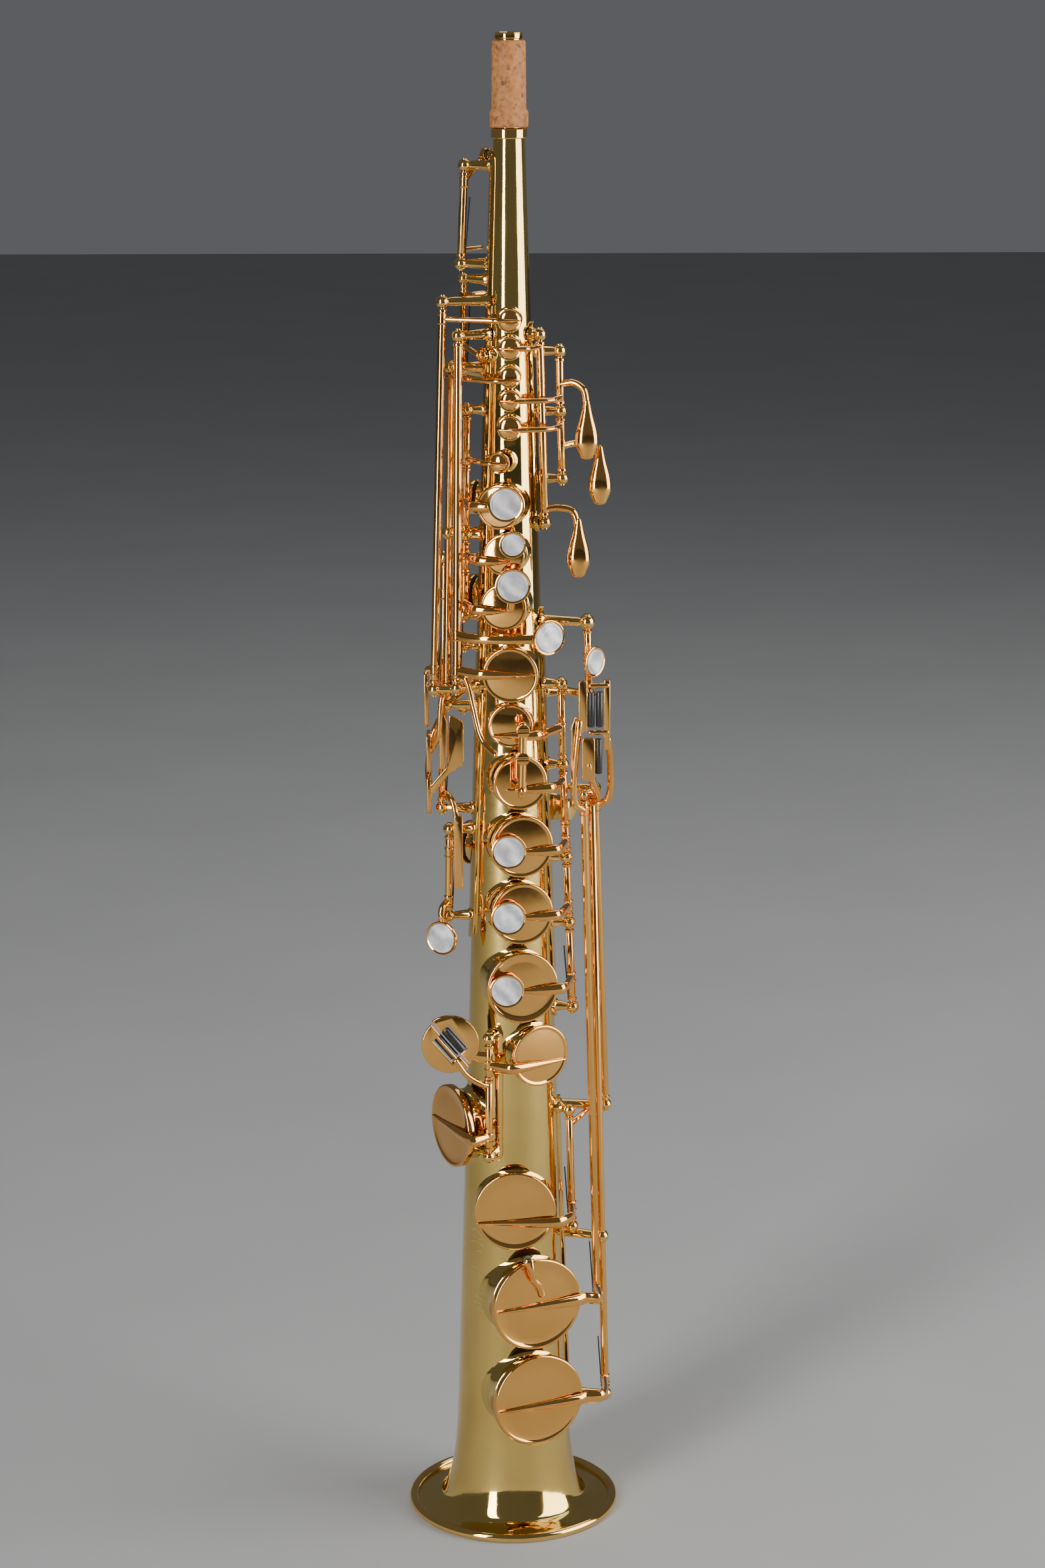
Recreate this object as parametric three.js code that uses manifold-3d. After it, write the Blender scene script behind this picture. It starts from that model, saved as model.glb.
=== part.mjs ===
// Soprano saxophone, one-piece straight body, standing on its bell.
// Millimetres, +Z up along the bore, -Y is the side with the finger pearls, +X is the viewer's right.
// An azimuth of 0 degrees faces -Y and a positive one turns towards +X.
import * as THREE from "three";
import { mergeVertices } from "three/addons/utils/BufferGeometryUtils.js";
import Module from "manifold-3d";

// ---- driving dimensions ---------------------------------------------------------------------
const LENGTH = 640;             // bell rim to neck end
const BELL_RADIUS = 46.2;       // outside of the rolled rim
const RIM_WIRE = 2.1;           // radius of the rolled rim
const WALL = 1.1;               // wall of the body tube
const BODY_FOOT = 41;           // where the bell is soldered on
const NECK_FOOT = 598;          // where the neck sleeve is soldered in
const CONE_Z = 100;             // the straight cone is measured from here
const CONE_RADIUS = 22.6;       // outside radius at CONE_Z
const CONE_SLOPE = 0.0324;      // radius lost per millimetre upwards
const FLARE = 18.5;             // how far the bell flares beyond the cone
const FLARE_DECAY = 8;          // height over which the flare fades
const GAP = 0.3;                // gap between touching pieces
const RIB = 1.2;                // thickness of the ribs that carry the posts
const BALL = 2.7;               // radius of a post's ball
const STEM = 1.35;              // radius of a post's stem
const TUBE = 1.6;               // radius of a hinge tube
const ARM = 1.8;                // thickness of a key arm
const ARM_WIDTH = 3.2;          // height of a key arm
const CHIMNEY = 2.2;            // height of a tone hole chimney over the body
const CHIMNEY_WALL = 0.8;
const PAD = 1.6;                // thickness of a pad
const PEARL_RADIUS = 6.4;
const OPEN_LIFT = 2.8;          // how far the middle of an open key's pad stands off its hole
const BODY_SIDES = 20;          // flats round the body tube
const STEP_DOWN = 3;            // end of a hinge tube below the centre of its ball

// ---- solids ---------------------------------------------------------------------------------
const wasm = await Module();
wasm.setup();

function solid(geometry) {
  const plain = geometry.index ? geometry.toNonIndexed() : geometry.clone();
  plain.deleteAttribute("normal");
  plain.deleteAttribute("uv");
  const merged = mergeVertices(plain, 1e-4);
  return new wasm.Manifold(new wasm.Mesh({
    numProp: 3,
    vertProperties: new Float32Array(merged.attributes.position.array),
    triVerts: new Uint32Array(merged.index.array),
  }));
}

function geometryOf(manifold) {
  const mesh = manifold.getMesh();
  const geometry = new THREE.BufferGeometry();
  geometry.setAttribute("position", new THREE.BufferAttribute(mesh.vertProperties, 3));
  geometry.setIndex(new THREE.BufferAttribute(mesh.triVerts, 1));
  geometry.computeVertexNormals();
  return geometry;
}

const join = (pieces) => pieces.reduce((sum, piece) => sum.add(piece));
const vector = (p) => new THREE.Vector3(p[0], p[1], p[2]);
const radians = THREE.MathUtils.degToRad;

function outward(azimuth) {
  return new THREE.Vector3(Math.sin(radians(azimuth)), -Math.cos(radians(azimuth)), 0);
}

function tubeRadius(z) {
  return CONE_RADIUS + (CONE_Z - z) * CONE_SLOPE + FLARE * Math.exp(-z / FLARE_DECAY);
}

function onBody(azimuth, z, height) {
  return outward(azimuth).multiplyScalar(tubeRadius(z) + height).setZ(z);
}

// Turns a geometry whose own axis is Z to point along direction, and moves it to place.
function aimed(geometry, place, direction, up = new THREE.Vector3(0, 0, 1)) {
  const zAxis = direction.clone().normalize();
  const xAxis = new THREE.Vector3().crossVectors(up, zAxis);
  if (xAxis.length() < 1e-6) xAxis.set(1, 0, 0);
  xAxis.normalize();
  const yAxis = new THREE.Vector3().crossVectors(zAxis, xAxis);
  const matrix = new THREE.Matrix4().makeBasis(xAxis, yAxis, zAxis).setPosition(place);
  return geometry.applyMatrix4(matrix);
}

function rod(from, to, radius, sides = 6) {
  const start = vector(from);
  const line = vector(to).sub(start);
  const geometry = new THREE.CylinderGeometry(radius, radius, line.length(), sides);
  geometry.rotateX(Math.PI / 2);
  geometry.translate(0, 0, line.length() / 2);
  return solid(aimed(geometry, start, line));
}

function ball(place, radius = BALL, sides = 6) {
  const geometry = new THREE.SphereGeometry(radius, sides, 4);
  geometry.translate(place[0], place[1], place[2]);
  return solid(geometry);
}

// A closed ring or disc turned about the Z axis from [radius, height] points.
function turned(points, sides) {
  const profile = points.map(([r, z]) => new THREE.Vector2(r, z));
  const geometry = new THREE.LatheGeometry(profile, sides);
  geometry.rotateX(Math.PI / 2);
  return geometry;
}

// A flat bar that follows [x, y] points at one height.
function arm(z, points, width = ARM_WIDTH, thick = ARM) {
  const middle = points.map(([x, y]) => new THREE.Vector2(x, y));
  const sides = [[], []];
  middle.forEach((point, i) => {
    const before = middle[Math.max(i - 1, 0)];
    const after = middle[Math.min(i + 1, middle.length - 1)];
    const along = after.clone().sub(before).normalize();
    const across = new THREE.Vector2(-along.y, along.x).multiplyScalar(thick / 2);
    sides[0].push(point.clone().add(across));
    sides[1].unshift(point.clone().sub(across));
  });
  const shape = new THREE.Shape([...sides[0], ...sides[1]]);
  const geometry = new THREE.ExtrudeGeometry(shape, { depth: width, bevelEnabled: false });
  geometry.translate(0, 0, z - width / 2);
  return solid(geometry);
}

// A bar of five-sided section along a smooth curve through points.
function strut(points, radius = 1.1, steps = 4) {
  const section = new THREE.Shape();
  for (let i = 0; i < 5; i += 1) {
    const x = radius * Math.cos((i * Math.PI) / 2.5);
    const y = radius * Math.sin((i * Math.PI) / 2.5);
    if (i === 0) section.moveTo(x, y);
    else section.lineTo(x, y);
  }
  const extrudePath = new THREE.CatmullRomCurve3(points.map(vector));
  return solid(new THREE.ExtrudeGeometry(section, { extrudePath, steps, bevelEnabled: false }));
}

function block(low, high) {
  const size = vector(high).sub(vector(low));
  const geometry = new THREE.BoxGeometry(size.x, size.y, size.z);
  geometry.translate((low[0] + high[0]) / 2, (low[1] + high[1]) / 2, (low[2] + high[2]) / 2);
  return solid(geometry);
}

// An egg-shaped touch that hangs down from its arm.
function teardrop(place, halfWidth, halfHeight, halfDepth) {
  const points = [[0, -1], [0.62, -0.72], [1, -0.1], [0.7, 0.55], [0, 1]];
  const geometry = turned(points, 8);
  geometry.scale(halfWidth, halfDepth, halfHeight);
  geometry.translate(place[0], place[1], place[2]);
  return solid(geometry);
}

// ---- tone holes -----------------------------------------------------------------------------
// Each hole: azimuth, height on the body, radius of the key cup over it, and whether it stands open.
const HOLES = {
  high_f_sharp: { az: 0, z: 525.7, r: 5.0 },
  palm_f: { az: 0, z: 514.3, r: 5.0 },
  high_e: { az: 0, z: 502.7, r: 4.6 },
  palm_e_flat: { az: 0, z: 493.0, r: 4.5 },
  palm_d: { az: 0, z: 481.8, r: 5.2 },
  vent: { az: -10, z: 467.8, r: 4.5, open: true },
  b: { az: -8, z: 449.8, r: 9.4, open: true },
  bis: { az: -1, z: 430.0, r: 8.7, open: true },
  a: { az: -2, z: 408.3, r: 9.8, open: true },
  g: { az: 2.4, z: 379.9, r: 11.7, open: true },
  g_sharp: { az: 0, z: 358.0, r: 9.4 },
  f_sharp: { az: 5.2, z: 334.2, r: 11.6, open: true },
  f: { az: 6.7, z: 306.9, r: 13.4, open: true },
  e: { az: 6.4, z: 278.0, r: 13.4, open: true },
  d: { az: 6.4, z: 245.8, r: 15.5, open: true },
  e_flat: { az: 30, z: 214.3, r: 13.5 },
  low_c: { az: -70, z: 179.1, r: 18.0, open: true, pad: true },
  low_c_sharp: { az: 2.8, z: 145.8, r: 17.6 },
  low_b: { az: 18.6, z: 104.1, r: 20.5, open: true, pad: true },
  low_b_flat: { az: 18.6, z: 60.3, r: 20.5, open: true, pad: true },
  side_c: { az: -108, z: 450.4, r: 7.2 },
  side_b_flat: { az: -116, z: 409.7, r: 7.6 },
  trill_f_sharp: { az: -122, z: 300, r: 9.5 },
  upper_octave: { az: -120, z: 590.8, r: 3.0 },
  lower_octave: { az: -56, z: 511.0, r: 3.1 },
};

const SMALL_HOLE = 6;            // cups under this radius are thin and plain
const LARGE_HOLE = 12;           // cups over this radius get the most flats

function holeSides(hole) {
  if (hole.r < SMALL_HOLE) return 6;
  return hole.r < LARGE_HOLE ? 8 : 12;
}

const cupSides = (hole) => (hole.r < 8 ? 10 : 14);
const chimneyRadius = (hole) => hole.r * 0.84;
const chimneyTop = (hole) => tubeRadius(hole.z) + CHIMNEY;
const padFace = (hole) => chimneyTop(hole) + GAP;
const cupFace = (hole) => padFace(hole) + (hole.pad ? PAD : 0);
const cupThickness = (hole) => (hole.r < SMALL_HOLE ? 1.6 : 2.2);
const cupTop = (hole) => padFace(hole) + PAD + cupThickness(hole);

// A disc or ring lying across a hole's own axis, from and to these distances off the bore's axis.
function discOver(hole, radius, from, to, sides = 16) {
  const geometry = turned([[0, from], [radius, from], [radius, to], [0, to]], sides);
  return solid(aimed(geometry, new THREE.Vector3(0, 0, hole.z), outward(hole.az)));
}

// A key cup: a flat disc with a bevelled rim.
function cup(hole) {
  const low = cupFace(hole);
  const top = cupTop(hole);
  const bevel = Math.min(0.8, hole.r * 0.12);
  const profile = [[0, low], [hole.r, low], [hole.r, top - bevel], [hole.r - bevel, top], [0, top]];
  const geometry = turned(profile, cupSides(hole));
  return solid(aimed(geometry, new THREE.Vector3(0, 0, hole.z), outward(hole.az)));
}

// ---- body -----------------------------------------------------------------------------------
function bodyTube() {
  const stations = [BODY_FOOT + GAP, 75, NECK_FOOT - GAP];
  const outer = stations.map((z) => [tubeRadius(z), z]);
  const inner = stations.slice().reverse().map((z) => [tubeRadius(z) - WALL, z]);
  const bore = [[0, BODY_FOOT - 5], [tubeRadius(BODY_FOOT) - WALL, BODY_FOOT - 5]];
  const boreSides = stations.slice(1, -1).map((z) => [tubeRadius(z) - WALL, z]);
  bore.push(...boreSides, [tubeRadius(NECK_FOOT) - WALL, NECK_FOOT + 5], [0, NECK_FOOT + 5]);
  let tube = solid(turned([...outer, ...inner, outer[0]], BODY_SIDES));
  const holes = Object.values(HOLES);
  const chimneys = holes.map((hole) => {
    const foot = tubeRadius(hole.z) * 0.55;
    return discOver(hole, chimneyRadius(hole), foot, chimneyTop(hole), holeSides(hole));
  });
  tube = tube.add(join(chimneys)).subtract(solid(turned(bore, BODY_SIDES)));
  const drills = holes.map((hole) => {
    const radius = chimneyRadius(hole) - CHIMNEY_WALL;
    return discOver(hole, radius, tubeRadius(hole.z) * 0.4, chimneyTop(hole) + 1, holeSides(hole));
  });
  return tube.subtract(join(drills));
}

function bell() {
  const lip = BELL_RADIUS - RIM_WIRE * 2 - GAP;
  const heights = [BODY_FOOT, 30, 22, 16, 12, 9, 7];
  const outer = heights.map((z) => [tubeRadius(z), z]).filter(([r]) => r < lip - 1);
  const inner = outer.slice().reverse().map(([r, z]) => [r - WALL * 0.9, z - WALL * 0.5]);
  inner[inner.length - 1][1] = BODY_FOOT;
  const edge = [[lip, 4.4], [lip, 3.1]];
  const profile = [...outer, ...edge, ...inner, outer[0]];
  return solid(turned(profile.reverse(), 32));
}

function bellRim() {
  const middle = BELL_RADIUS - RIM_WIRE;
  const points = [[middle - 1.5, 0], [middle + 1.5, 0]];
  for (let i = 0; i <= 5; i += 1) {
    const turn = radians(-30 + 48 * i);
    points.push([middle + RIM_WIRE * Math.cos(turn), RIM_WIRE + RIM_WIRE * Math.sin(turn)]);
  }
  points.push(points[0]);
  return solid(turned(points, 32));
}

function neckSleeve() {
  const top = tubeRadius(LENGTH) + 0.6;
  const foot = tubeRadius(NECK_FOOT);
  const bore = tubeRadius(LENGTH) - WALL;
  const profile = [[foot, NECK_FOOT], [foot + 0.9, NECK_FOOT], [foot + 0.9, NECK_FOOT + 4]];
  profile.push([top - 0.4, NECK_FOOT + 4], [top - 0.4, 637.6], [top, 637.6], [top, LENGTH]);
  profile.push([bore, LENGTH], [foot - WALL, NECK_FOOT], [foot, NECK_FOOT]);
  return solid(turned(profile, 16));
}

function neckCork() {
  const inner = tubeRadius(LENGTH) + 0.2 + GAP;
  const profile = [[inner, 602.4], [7.8, 602.4], [7.8, 608.6], [7.0, 609.4], [6.8, 636.6]];
  profile.push([inner, 637.2], [inner, 602.4]);
  return solid(turned(profile, 16));
}

// ---- posts and ribs -------------------------------------------------------------------------
// A strip that lies on the body, between two azimuths and two heights.
function strip(from, to, low, high) {
  const shape = new THREE.Shape();
  const arcs = 3;
  const point = (i, height) => {
    const turn = radians(from + ((to - from) * i) / arcs);
    return [Math.sin(turn) * height, -Math.cos(turn) * height];
  };
  for (let i = 0; i <= arcs; i += 1) {
    const [x, y] = point(i, 1);
    if (i === 0) shape.moveTo(x, y);
    else shape.lineTo(x, y);
  }
  for (let i = arcs; i >= 0; i -= 1) shape.lineTo(...point(i, 2));
  const geometry = new THREE.ExtrudeGeometry(shape, { depth: high - low, steps: 1, bevelEnabled: false });
  geometry.translate(0, 0, low);
  const position = geometry.attributes.position;
  for (let i = 0; i < position.count; i += 1) {
    const radius = Math.hypot(position.getX(i), position.getY(i));
    const wanted = tubeRadius(position.getZ(i)) + (radius > 1.5 ? GAP + RIB : GAP + 0.15);
    const scale = wanted / radius;
    position.setXY(i, position.getX(i) * scale, position.getY(i) * scale);
  }
  return solid(geometry);
}

// A post: a stem from the rib at azimuth foot, through the via points, to a ball.
function post({ at, foot, via = [], radius = BALL }) {
  const base = onBody(foot, at[2], GAP + RIB / 2).toArray();
  const stations = [base, ...via.map(([x, y]) => [x, y, at[2]]), at];
  const pieces = [ball(at, radius)];
  for (let i = 1; i < stations.length; i += 1) {
    pieces.push(rod(stations[i - 1], stations[i], STEM, 5));
    if (i < stations.length - 1) pieces.push(ball(stations[i], STEM * 1.04));
  }
  return join(pieces);
}

function rib({ from, to, low, high, posts, clear = [] }) {
  let body = join([strip(from, to, low, high), ...posts.map(post)]);
  const holes = Object.values(HOLES).filter((hole) => {
    return hole.z > low - hole.r && hole.z < high + hole.r && hole.az > from - 60 && hole.az < to + 60;
  });
  holes.forEach((hole) => {
    const radius = chimneyRadius(hole) * 1.1 + 0.4;
    body = body.subtract(discOver(hole, radius, 0, chimneyTop(hole) + 1, 8));
  });
  clear.forEach(([a, b, radius]) => {
    body = body.subtract(rod(a, b, radius + 0.35, 8));
  });
  return body;
}

// ---- hinge lines ----------------------------------------------------------------------------
const LINES = {
  high_f_sharp: [[-27.4, -8, 532.7], [-32.1, -8, 371.0]],
  g: [[-21.0, -10, 519.1], [-22.5, -14, 372.9]],
  high_e: [[-24.3, -3, 505.4], [-27.0, -3, 363.3]],
  left_stack: [[-17.7, -4, 488.0], [-19.4, -4, 389.2]],
  side_c: [[-8.5, 19, 470], [-10.5, 21.5, 361.6]],
  side_b_flat: [[-27.5, 3, 425], [-29.3, 0, 318]],
  upper_octave: [[-18.2, 3, 587.0], [-19.9, 3, 547.2]],
  lower_octave: [[-18.9, 4.5, 541], [-19.2, 4.5, 503]],
  octave_lever: [[5, 19.5, 541], [5.5, 21.5, 470]],
  palm_f: [[12.4, -6.2, 519.2], [14.4, -6.4, 441.5]],
  palm_e_flat: [[20.6, 0, 511.7], [20.9, 0, 486.9]],
  palm_d: [[20.9, 0, 486.9], [21.6, 0, 458.9]],
  g_sharp: [[21.2, -5, 372.7], [21.9, -5, 338.0]],
  g_sharp_lever: [[32.0, -8, 399.7], [33.0, -6, 368.0]],
  right_stack: [[21.9, -5, 338.0], [26.1, -6, 231.4]],
  trill_f_sharp: [[-26.1, -6, 310.1], [-26.8, -6, 272]],
  pinky: [[-9.7, -23.4, 222.6], [-9.8, -26, 170.5]],
  low_c_sharp: [[24.7, -6, 184.7], [26.1, -6, 131.4]],
  low_c_sharp_lever: [[35.6, 1.5, 326], [40.6, 3.0, 184.1]],
  low_b: [[30.7, -9.5, 326], [36.9, -6.0, 97.6]],
  low_b_flat: [[34.1, -5.5, 326], [40.9, -1.5, 51.0]],
};

// The point of a hinge line at one height.
function onLine([a, b], z) {
  const part = (z - a[2]) / (b[2] - a[2]);
  return [a[0] + (b[0] - a[0]) * part, a[1] + (b[1] - a[1]) * part, z];
}

// A hinge tube along a line between two heights.
const hinge = (line, high, low, radius = TUBE) => rod(onLine(line, high), onLine(line, low), radius);

const RIBS = {
  left_rib: {
    from: -100, to: -62, low: 262, high: 592,
    posts: [
      { at: LINES.upper_octave[0], foot: -96 },
      { at: LINES.upper_octave[1], foot: -96 },
      { at: LINES.high_f_sharp[0], foot: -74 },
      { at: LINES.high_f_sharp[1], foot: -70, via: [[-20, -7]] },
      { at: LINES.g[0], foot: -66 },
      { at: LINES.g[1], foot: -66 },
      { at: LINES.high_e[0], foot: -84 },
      { at: onLine(LINES.high_e, 436.6), foot: -84, radius: 3 },
      { at: LINES.high_e[1], foot: -84 },
      { at: LINES.left_stack[0], foot: -78 },
      { at: onLine(LINES.left_stack, 435.8), foot: -78 },
      { at: onLine(LINES.left_stack, 402), foot: -78 },
      { at: LINES.left_stack[1], foot: -78 },
      { at: [-20.1, 0, 361.6], foot: -88 },
      { at: LINES.side_b_flat[0], foot: -95 },
      { at: LINES.side_b_flat[1], foot: -88 },
      { at: LINES.lower_octave[0], foot: -96, radius: 2.3 },
      { at: LINES.lower_octave[1], foot: -96, radius: 2.3 },
      { at: LINES.trill_f_sharp[0], foot: -76 },
      { at: LINES.trill_f_sharp[1], foot: -76 },
    ],
    clear: [[...LINES.high_e, TUBE]],
  },
  octave_lever_rib: {
    from: 158, to: 178, low: 466, high: 546,
    posts: [{ at: LINES.octave_lever[0], foot: 166 }, { at: LINES.octave_lever[1], foot: 166 }],
  },
  back_rib: {
    from: -172, to: -148, low: 357, high: 475,
    posts: [
      { at: LINES.side_c[0], foot: -156 },
      { at: LINES.side_c[1], foot: -156 },
    ],
  },
  palm_rib: {
    from: 62, to: 104, low: 437, high: 524,
    posts: [
      { at: LINES.palm_f[0], foot: 66 },
      { at: LINES.palm_f[1], foot: 68 },
      { at: LINES.palm_e_flat[0], foot: 90 },
      { at: LINES.palm_e_flat[1], foot: 90 },
      { at: LINES.palm_d[1], foot: 90 },
    ],
  },
  right_rib: {
    from: 70, to: 104, low: 226, high: 405,
    posts: [
      { at: LINES.g_sharp_lever[0], foot: 76, radius: 3.2 },
      { at: LINES.g_sharp_lever[1], foot: 96, via: [[24, 3]] },
      { at: LINES.g_sharp[0], foot: 78 },
      { at: LINES.g_sharp[1], foot: 78 },
      { at: onLine(LINES.right_stack, 297.6), foot: 78 },
      { at: onLine(LINES.right_stack, 268.8), foot: 78 },
      { at: LINES.right_stack[1], foot: 78 },
      { at: LINES.low_c_sharp_lever[0], foot: 98, via: [[24, 3.5]] },
      { at: LINES.low_b_flat[0], foot: 98, via: [[24, 3.5], [35.6, 1.5]], radius: 2.2 },
      { at: LINES.low_b[0], foot: 98, via: [[24, 3.5], [35.6, 1.5], [34.1, -5.5]], radius: 2.2 },
    ],
  },
  low_rib: {
    from: 80, to: 106, low: 46.5, high: 189,
    posts: [
      { at: LINES.low_c_sharp[0], foot: 84 },
      { at: LINES.low_c_sharp[1], foot: 84 },
      { at: LINES.low_c_sharp_lever[1], foot: 100 },
      { at: onLine(LINES.low_b_flat, 125.4), foot: 98, radius: 3 },
      { at: LINES.low_b[1], foot: 88, radius: 2.2 },
      { at: LINES.low_b_flat[1], foot: 90 },
    ],
    clear: [[onLine(LINES.low_b_flat, 140), onLine(LINES.low_b_flat, 54), TUBE],
      [onLine(LINES.low_b, 150), onLine(LINES.low_b, 100.6), TUBE]],
  },
  pinky_rib: {
    from: -33, to: -11, low: 166, high: 226,
    posts: [{ at: LINES.pinky[0], foot: -24 }, { at: LINES.pinky[1], foot: -22 }],
  },
};

// ---- keys -----------------------------------------------------------------------------------
// The point over a cup's centre, sideways along the cup and raised over its top.
function overCup(hole, sideways, raise = 0.5) {
  const out = outward(hole.az);
  const across = new THREE.Vector3(-out.y, out.x, 0);
  const point = out.multiplyScalar(cupTop(hole) + raise).addScaledVector(across, sideways);
  return [point.x, point.y];
}

// Turns what is built shut over an open hole about its hinge, until it stands open as it does at rest.
function swungOpen(hole, line, shut) {
  const geometry = geometryOf(shut);
  const pivot = vector(onLine(line, hole.z));
  const axis = vector(line[0]).sub(vector(line[1])).normalize();
  const middle = onBody(hole.az, hole.z, CHIMNEY).sub(pivot);
  const push = new THREE.Vector3().crossVectors(axis, middle).dot(outward(hole.az));
  const angle = OPEN_LIFT / push;
  geometry.translate(-pivot.x, -pivot.y, -pivot.z);
  geometry.applyMatrix4(new THREE.Matrix4().makeRotationAxis(axis, angle));
  geometry.translate(pivot.x, pivot.y, pivot.z);
  return solid(geometry);
}

// A cup, and the arm that runs to it from a hinge line. The side is +1 for a hinge on the right.
function cupArm(hole, line, side, { z = hole.z, reach = 2.2, bend = [], raise = 0.5 } = {}) {
  const start = onLine(line, z).slice(0, 2);
  const edge = overCup(hole, side * (hole.r + reach), raise - 0.4);
  return join([cup(hole), arm(z, [start, ...bend, edge, overCup(hole, 0, raise)])]);
}

function pearl([x, y, z], azimuth, radius = PEARL_RADIUS) {
  const profile = [[0, GAP], [radius, GAP], [radius, 0.9], [radius * 0.85, 1.3], [0, 1.3]];
  return solid(aimed(turned(profile, 10), new THREE.Vector3(x, y, z), outward(azimuth)));
}

// Where each pearl sits, in front of its dish.
const PEARLS = {
  b: { at: [-1.8, -24.2, 451.9], az: -4 },
  bis: { at: [1.1, -22.8, 434.9], az: 2, radius: 4.6 },
  a: { at: [1.1, -25.6, 418.2], az: 3 },
  g: { at: [15.8, -22.6, 396.0], az: 30 },
  g_sharp: { at: [34.8, -14, 384], az: 50, radius: 5.4 },
  f: { at: [-0.8, -27.6, 305.8], az: 2 },
  e: { at: [-1.1, -28.6, 277.3], az: 2 },
  d: { at: [-1.9, -29.6, 245.7], az: 2 },
  trill: { at: [-29.5, -12, 263.8], az: -30 },
};

// The metal dish on a short stalk that holds a pearl. It is part of the key.
function dish(name, stalk = 1.9) {
  const { at, az, radius: face = PEARL_RADIUS } = PEARLS[name];
  const edge = face + 0.8;
  const profile = [[0, -1.5 - stalk], [2.4, -1.5 - stalk], [2.4, -1.5], [edge * 0.75, -1.5]];
  profile.push([edge, -0.4], [edge, 0.8], [face + GAP, 0.8], [face + GAP, 0], [0, 0]);
  return solid(aimed(turned(profile, 10), vector(at), outward(az)));
}

// Half of the round plate for the little finger, cut for its roller. The side is +1 for the upper half.
const PINKY_PLATE = { at: [-26.2, -25.5, 221.3], radius: 12.4, thick: 1.6, split: -50 };
const ROLLER = { radius: 1.9, length: 12 };
const TABLE_ROLLER_RADIUS = 1.5;

function pinkyFrame(geometry) {
  const { at, split } = PINKY_PLATE;
  geometry.rotateZ(radians(split));
  geometry.rotateX(Math.PI / 2);
  geometry.translate(at[0], at[1], at[2]);
  return geometry;
}

function pinkyHalf(side) {
  const { radius, thick } = PINKY_PLATE;
  const plate = new THREE.CylinderGeometry(radius, radius, thick, 24);
  plate.rotateX(Math.PI / 2);
  const half = new THREE.BoxGeometry(radius * 2.2, radius * 1.2, thick * 2);
  half.translate(0, side * (radius * 0.6 + 0.25), 0);
  const notch = new THREE.BoxGeometry(ROLLER.length + 1, ROLLER.radius * 2 + 0.9, thick * 2);
  notch.translate(0, side * (ROLLER.radius + 0.45), 0);
  return solid(pinkyFrame(plate)).intersect(solid(pinkyFrame(half))).subtract(solid(pinkyFrame(notch)));
}

function pinkyRoller(side) {
  const { radius, length } = ROLLER;
  const geometry = new THREE.CylinderGeometry(radius, radius, length, 10);
  geometry.rotateZ(Math.PI / 2);
  geometry.translate(0, side * (radius + 0.35), 0);
  return solid(pinkyFrame(geometry));
}

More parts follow.
